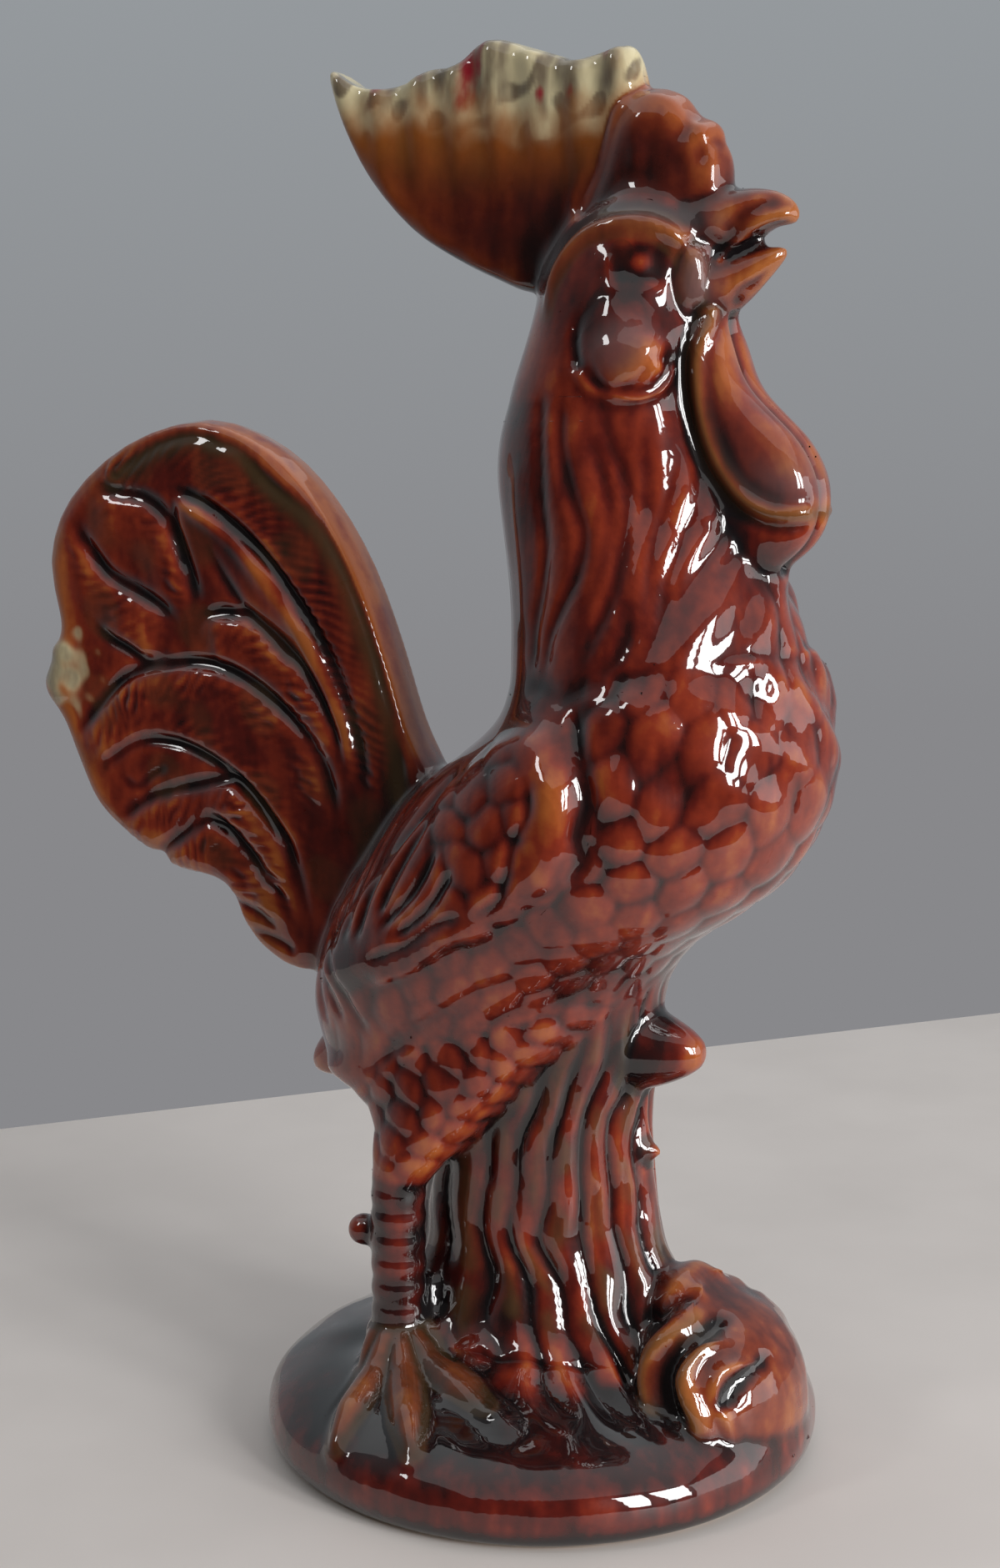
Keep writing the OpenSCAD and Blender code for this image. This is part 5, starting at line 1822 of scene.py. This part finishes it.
@dataclass
class Beak(SubAssembly):
    """The open beak with its tongue."""

    nostril: tuple[float, float] = (51.5, 255.5)

    @property
    def nodes(self) -> tuple[str, ...]:
        """Names of the clay pieces."""
        return ("upper_beak", "lower_beak", "tongue")

    def relief(self, skin: Skin) -> Array:
        """Nostrils, a ridge along the edge of the upper beak and a groove in the lower one.

        Args:
            skin: every point of the glazed skins.

        Returns:
            Added height at each point.
        """
        side = ramp(skin.side, 1.0, 2.5)
        dent = -1.1 * bell(skin.blob(*self.nostril, 1.7, 1.1), 1.0)
        lip = [(54.5, 258), (50, 257.7), (46.3, 256.3), (43.1, 253.7), (40.6, 251.3), (38.6, 248)]
        above = [(52, 261), (47, 259.5), (43, 257), (40, 254)]
        low = [(54, 250), (51, 248), (47.2, 245.5), (44, 243.5), (42, 240)]
        lines = [Stroke(Cut.RIDGE, 1.2, 0.9, lip, 2.0), Stroke(Cut.GROOVE, 0.6, 1.2, above, 3.0),
                 Stroke(Cut.GROOVE, 0.8, 0.9, low, 2.0)]
        on_beak = skin.on("upper_beak", "lower_beak")
        return side * (skin.on("upper_beak") * dent + on_beak * pressed(lines, skin.x, skin.z))

    def tint(self, skin: Skin) -> Array:
        """Dark glaze in the mouth, and some on the beak and over its bridge.

        Args:
            skin: every point of the glazed skins.

        Returns:
            Extra thickness at each point.
        """
        bridge = 0.25 * skin.on("upper_beak", fade=1.0) * ramp(skin.z, 256.0, 261.0)
        horn = 0.3 * skin.on("upper_beak", "lower_beak", fade=1.0)
        return 0.9 * skin.on("tongue", fade=1.0) + bridge + horn


@dataclass
class Wattles(SubAssembly):
    """Two wattles pressed together under the throat, with a rolled back edge."""

    edge: Points = ((38.8, 240.0), (38.4, 236.2), (37.3, 232.0), (37.2, 226.0), (38.3, 219.5),
                    (40.8, 212.4), (45.0, 206.0), (49.4, 202.4), (54.3, 200.8), (61.0, 201.2))

    @property
    def nodes(self) -> tuple[str, ...]:
        """Names of the clay pieces."""
        return both("wattle")

    def _gap(self, skin: Skin) -> Array:
        """Distance from the rolled edge, above 0 on the face and below 0 behind it."""
        return -skin.gap(self.edge, *self.nodes)

    def relief(self, skin: Skin) -> Array:
        """A roll between the bevel and the face, and a crease between the two wattles.

        Args:
            skin: every point of the glazed skins.

        Returns:
            Added height at each point.
        """
        gap = self._gap(skin)
        made = 0.8 * bell(gap, 1.2) - 0.5 * bell(gap - 2.6, 1.4) - 0.7 * bell(gap + 2.6, 1.3)
        face = ramp(skin.side, 3.0, 6.0) * ramp(skin.flatness, 0.25, 0.55)
        return skin.on(*self.nodes) * (made * face - 1.7 * bell(skin.y, 1.7))

    def tint(self, skin: Skin) -> Array:
        """Dark glaze caught at the bottom of the face and on the bevel.

        Args:
            skin: every point of the glazed skins.

        Returns:
            Extra thickness at each point.
        """
        pool = 0.9 * bell(skin.blob(56.0, 205.5, 6.0, 2.4), 1.0)
        gap = self._gap(skin)
        made = 0.5 * ramp(-gap, 1.4, 4.0) - 0.05 * ramp(gap, 0.0, 3.0)
        return (made + pool) * skin.on(*self.nodes)

    def runs(self, skin: Skin) -> dict[str, Array]:
        """An olive cast on the roll behind the face, and a painted reflection veil low on the face and
        faintly over it.

        Args:
            skin: every point of the glazed skins.

        Returns:
            Shares from 0 to 1, by the names of the glazes.
        """
        near = skin.on(*self.nodes)
        # Painted reflection: a pinkish-grey veil over the wattle face, strongest low on it, stands for a
        # pale reflection.
        veiled = 0.4 * bell(skin.blob(56.0, 207.0, 8.0, 5.0), 1.0) + 0.12
        gap = self._gap(skin)
        return {"moss": 0.7 * bell(gap + 0.3, 1.6) * near, "reflection_veil": veiled * near * ramp(gap, 0.0, 3.0)}


@dataclass(frozen=True)
class Lamp:
    """A rectangular lamp aimed at the middle of the rooster."""

    name: str
    place: Triple
    size: tuple[float, float]
    power: float
    aim: Triple = (0.0, 0.0, 0.16)

    def set_up(self) -> None:
        """Make the lamp and turn it."""
        data = bpy.data.lights.new(self.name, "AREA")
        data.shape = "RECTANGLE"
        data.size, data.size_y = self.size
        data.energy = self.power
        lamp = bpy.data.objects.new(self.name, data)
        lamp.location = self.place
        way = Vector(self.aim) - Vector(self.place)
        lamp.rotation_euler = way.to_track_quat("-Z", "Y").to_euler()
        bpy.context.scene.collection.objects.link(lamp)


@dataclass
class Studio:
    """Pale table, window light and a grey wall behind."""

    table: Colour = (226, 219, 214)
    wall: Colour = (151, 156, 160)
    wall_foot: Colour = (136, 136, 139)
    room: Colour = (50, 46, 45)
    back: Triple = (-0.44, 0.9, 0.0)
    table_edge: Triple = (-0.129, 0.2415, 0.0)
    table_side: Triple = (0.664, 0.748, 0.0)
    table_near: float = 0.5
    table_left: float = -0.38
    table_right: float = 0.9
    table_roughness: float = 0.55
    grain_pitch: float = 60.0
    grain_shade: int = 6
    lamps: tuple[Lamp, ...] = (
        Lamp("window_left", (1.02, -0.52, 0.42), (0.2, 0.58), 5.8),
        Lamp("window_right", (1.11, -0.25, 0.42), (0.2, 0.58), 5.8),
        Lamp("far_window", (-0.66, -0.86, 1.0), (0.16, 0.3), 1.4),
        Lamp("bright_side", (1.2, 0.25, 0.3), (0.7, 0.7), 2.6),
        Lamp("ceiling", (0.1, -0.1, 1.7), (3.2, 3.2), 16.0))

    def set_up(self) -> None:
        """Make the table, the surround and the lamps."""
        bpy.context.scene.view_settings.view_transform = "Standard"
        self._table()
        self._surround()
        for lamp in self.lamps:
            lamp.set_up()

    def _table(self) -> None:
        """A flat top whose far edge shows behind the rooster."""
        edge, along = Vector(self.table_edge), Vector(self.table_side)
        near = along.cross(Vector((0.0, 0.0, 1.0)))
        left, right, deep = self.table_left, self.table_right, self.table_near
        places = ((left, 0.0), (left, deep), (right, deep), (right, 0.0))
        corners = [edge + along * a + near * b for a, b in places]
        mesh = bpy.data.meshes.new("table")
        mesh.from_pydata([tuple(corner) for corner in corners], [], [(0, 1, 2, 3)])
        table = bpy.data.objects.new("table", mesh)
        bpy.context.scene.collection.objects.link(table)
        pad = NodePad("table")
        grain = pad.remap(pad.noise(self.grain_pitch), 0.3, 0.7)
        darker = linear(tuple(c - self.grain_shade for c in self.table))
        pad.join(pad.mix(grain, linear(self.table), darker), pad.shader.inputs["Base Color"])
        pad.shader.inputs["Roughness"].default_value = self.table_roughness
        mesh.materials.append(pad.material)

    def _surround(self) -> None:
        """A grey wall behind the rooster and a dim room on the other side."""
        world = bpy.data.worlds.new("surround")
        world.use_nodes = True
        tree = world.node_tree
        place = tree.nodes.new("ShaderNodeTexCoord").outputs["Generated"]
        colours = []
        for way, stops in ((self.back, ((0.3, self.room), (0.75, self.wall))),
                           ((0.0, 0.0, 1.0), ((0.44, self.wall_foot), (0.62, self.wall)))):
            dot = tree.nodes.new("ShaderNodeVectorMath")
            dot.operation = "DOT_PRODUCT"
            dot.inputs[1].default_value = way
            tree.links.new(place, dot.inputs[0])
            half = tree.nodes.new("ShaderNodeMapRange")
            half.inputs["From Min"].default_value = -1.0
            tree.links.new(dot.outputs["Value"], half.inputs["Value"])
            shade = tree.nodes.new("ShaderNodeValToRGB")
            for element, (position, colour) in zip(shade.color_ramp.elements, stops):
                element.position = position
                element.color = linear(colour)
            tree.links.new(half.outputs["Result"], shade.inputs["Fac"])
            colours.append(shade.outputs["Color"])
        darker = tree.nodes.new("ShaderNodeMix")
        darker.data_type = "RGBA"
        darker.blend_type = "DARKEN"
        darker.inputs[0].default_value = 1.0
        for socket, colour in zip((darker.inputs[6], darker.inputs[7]), colours):
            tree.links.new(colour, socket)
        tree.links.new(darker.outputs[2], tree.nodes["Background"].inputs["Color"])
        bpy.context.scene.world = world


@dataclass
class GlazedPiece:
    """The skin of one clay piece on its way to a finished mesh."""

    node: str
    points: Array
    faces: Array
    past_seam: Array
    coats: dict[str, Array] = field(default_factory=dict)

    @property
    def name(self) -> str:
        """Name of the finished piece."""
        return f"{self.node}_glazed"

    def build(self, normals: Array, sink: Array, slot: str,
              material: bpy.types.Material) -> bpy.types.Object:
        """Make the mesh, hang it on the frame and give it its glaze.

        Args:
            normals: unit normals that the points are shaded with.
            sink: how far each point is tucked under its neighbour's skin.
            slot: the record's material slot; not used.
            material: the finish.

        Returns:
            The finished piece.
        """
        mesh = bpy.data.meshes.new(self.name)
        places = (self.points - normals * sink[:, None]) * MM
        low, high = (np.array(corner) for corner in CAD_BOX)
        places = np.clip(places, low, high)
        mesh.vertices.add(len(places))
        mesh.vertices.foreach_set("co", places.astype(np.float32).ravel())
        mesh.loops.add(self.faces.size)
        mesh.loops.foreach_set("vertex_index", self.faces.astype(np.int32).ravel())
        mesh.polygons.add(len(self.faces))
        mesh.polygons.foreach_set("loop_start", np.arange(0, self.faces.size, 4, dtype=np.int32))
        mesh.polygons.foreach_set("use_smooth", np.ones(len(self.faces), bool))
        mesh.update(calc_edges=True)
        mesh.validate()
        for name, values in self.coats.items():
            layer = mesh.attributes.new(name, "FLOAT", "POINT")
            layer.data.foreach_set("value", values.astype(np.float32))
        mesh.normals_split_custom_set_from_vertices(normals)
        mesh.materials.append(material)
        piece = bpy.data.objects.new(self.name, mesh)
        bpy.context.scene.collection.objects.link(piece)
        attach(piece, "root")
        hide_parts(self.node)
        return piece


@dataclass
class Rooster:
    """All the clay pieces, from raw clay to glazed skins."""

    clay: Clay
    parts: Sequence[SubAssembly]
    crease_weight: float = 0.9
    relief_weight: float = 2.1
    soften_rounds: int = 2
    spread_rounds: int = 16
    buried: tuple[float, float] = (0.3, 1.2)
    foot_fade: tuple[float, float] = (0.8, 3.0)
    bare_slope: tuple[float, float] = (0.85, 0.95)
    bare_height: tuple[float, float] = (0.4, 0.9)

    def glaze(self) -> list[bpy.types.Object]:
        """Cut the skins apart, press the relief, colour and build them.

        Returns:
            The finished pieces.
        """
        pieces = [GlazedPiece(node, *self.clay.cut_out(node)) for part in self.parts for node in part.nodes]
        points = np.vstack([piece.points for piece in pieces])
        offsets = np.cumsum([0] + [len(piece.points) for piece in pieces])
        faces = np.vstack([piece.faces + start for piece, start in zip(pieces, offsets)])
        normals = self.clay.outward(points)
        if np.sum(corner_normals(points, faces) * normals) < 0.0:
            faces = faces[:, ::-1]
        skin = Skin(self.clay, points, normals)
        outer = 1.0 - ramp(-self.clay.depth(points), *self.buried)
        height = spread_out(sum(part.relief(skin) for part in self.parts), faces, self.soften_rounds)
        coats = self._coats(skin, faces, height)
        height *= outer * ramp(points[:, 2], *self.foot_fade)
        points = points + normals * height[:, None]
        return self._build(pieces, offsets, points, faces, coats)

    def _coats(self, skin: Skin, faces: Array, height: Array) -> dict[str, Array]:
        """How thick each glaze lies at each point.

        Args:
            skin: every point of the glazed skins, before the relief.
            faces: the faces, four point numbers each.
            height: relief at each point.

        Returns:
            One number for each point, by the names of the coats.
        """
        hollow = spread_out(height, faces, self.spread_rounds) - height
        pool = self.crease_weight * self.clay.crease(skin.points) + self.relief_weight * hollow
        foot = ramp(-skin.normals[:, 2], *self.bare_slope) * (1.0 - ramp(skin.z, *self.bare_height))
        coats = {"pool": pool + sum(part.tint(skin) for part in self.parts), "bare": foot}
        for name in ("honey", "moss", "reflection_veil", "cream", "drip", "berry"):
            coats[name] = skin.blank()
        for part in self.parts:
            for name, share in part.runs(skin).items():
                coats[name] = np.maximum(coats[name], share)
        return coats

    def _build(self, pieces: list[GlazedPiece], offsets: Array, points: Array, faces: Array,
               coats: dict[str, Array]) -> list[bpy.types.Object]:
        """Give each piece its share of the points and build it.

        Args:
            pieces: the pieces.
            offsets: number of each piece's first point, and the count of all.
            points: all points, with the relief.
            faces: all faces, four point numbers each.
            coats: the coats of all points.

        Returns:
            The finished pieces.
        """
        shading = corner_normals(points, faces)
        slots = {row["node"]: row["material_slot"] for row in frame["record"]["subparts"]}
        materials = {slot: glaze.material() for slot, glaze in GLAZES.items()}
        made = []
        start_face = 0
        for piece, start, end in zip(pieces, offsets, offsets[1:]):
            own = slice(start, end)
            count = len(piece.faces)
            piece.points = points[own]
            piece.faces = faces[start_face:start_face + count] - start
            piece.coats = {name: values[own] for name, values in coats.items()}
            sink = self.clay.sink * ramp(piece.past_seam, 0.0, self.clay.overlap)
            slot = slots[piece.node]
            made.append(piece.build(shading[own], sink, slot, materials[slot]))
            LOG.info("%s: %d faces, %s", piece.name, count, slot)
            start_face += count
        return made


def main() -> None:
    """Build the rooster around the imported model, piece by piece."""
    logging.basicConfig(level=logging.INFO, format="%(name)s: %(message)s", force=True)
    Viewpoint().set_up()
    Studio().set_up()
    parts = [Plinth(), Clump(), Legs(), Body(), Tail(), Neck(), Head(), Comb(), Beak(), Wattles()]
    made = Rooster(Clay(), parts).glaze()
    LOG.info("%d pieces", len(made))


if __name__ == "__main__":
    main()
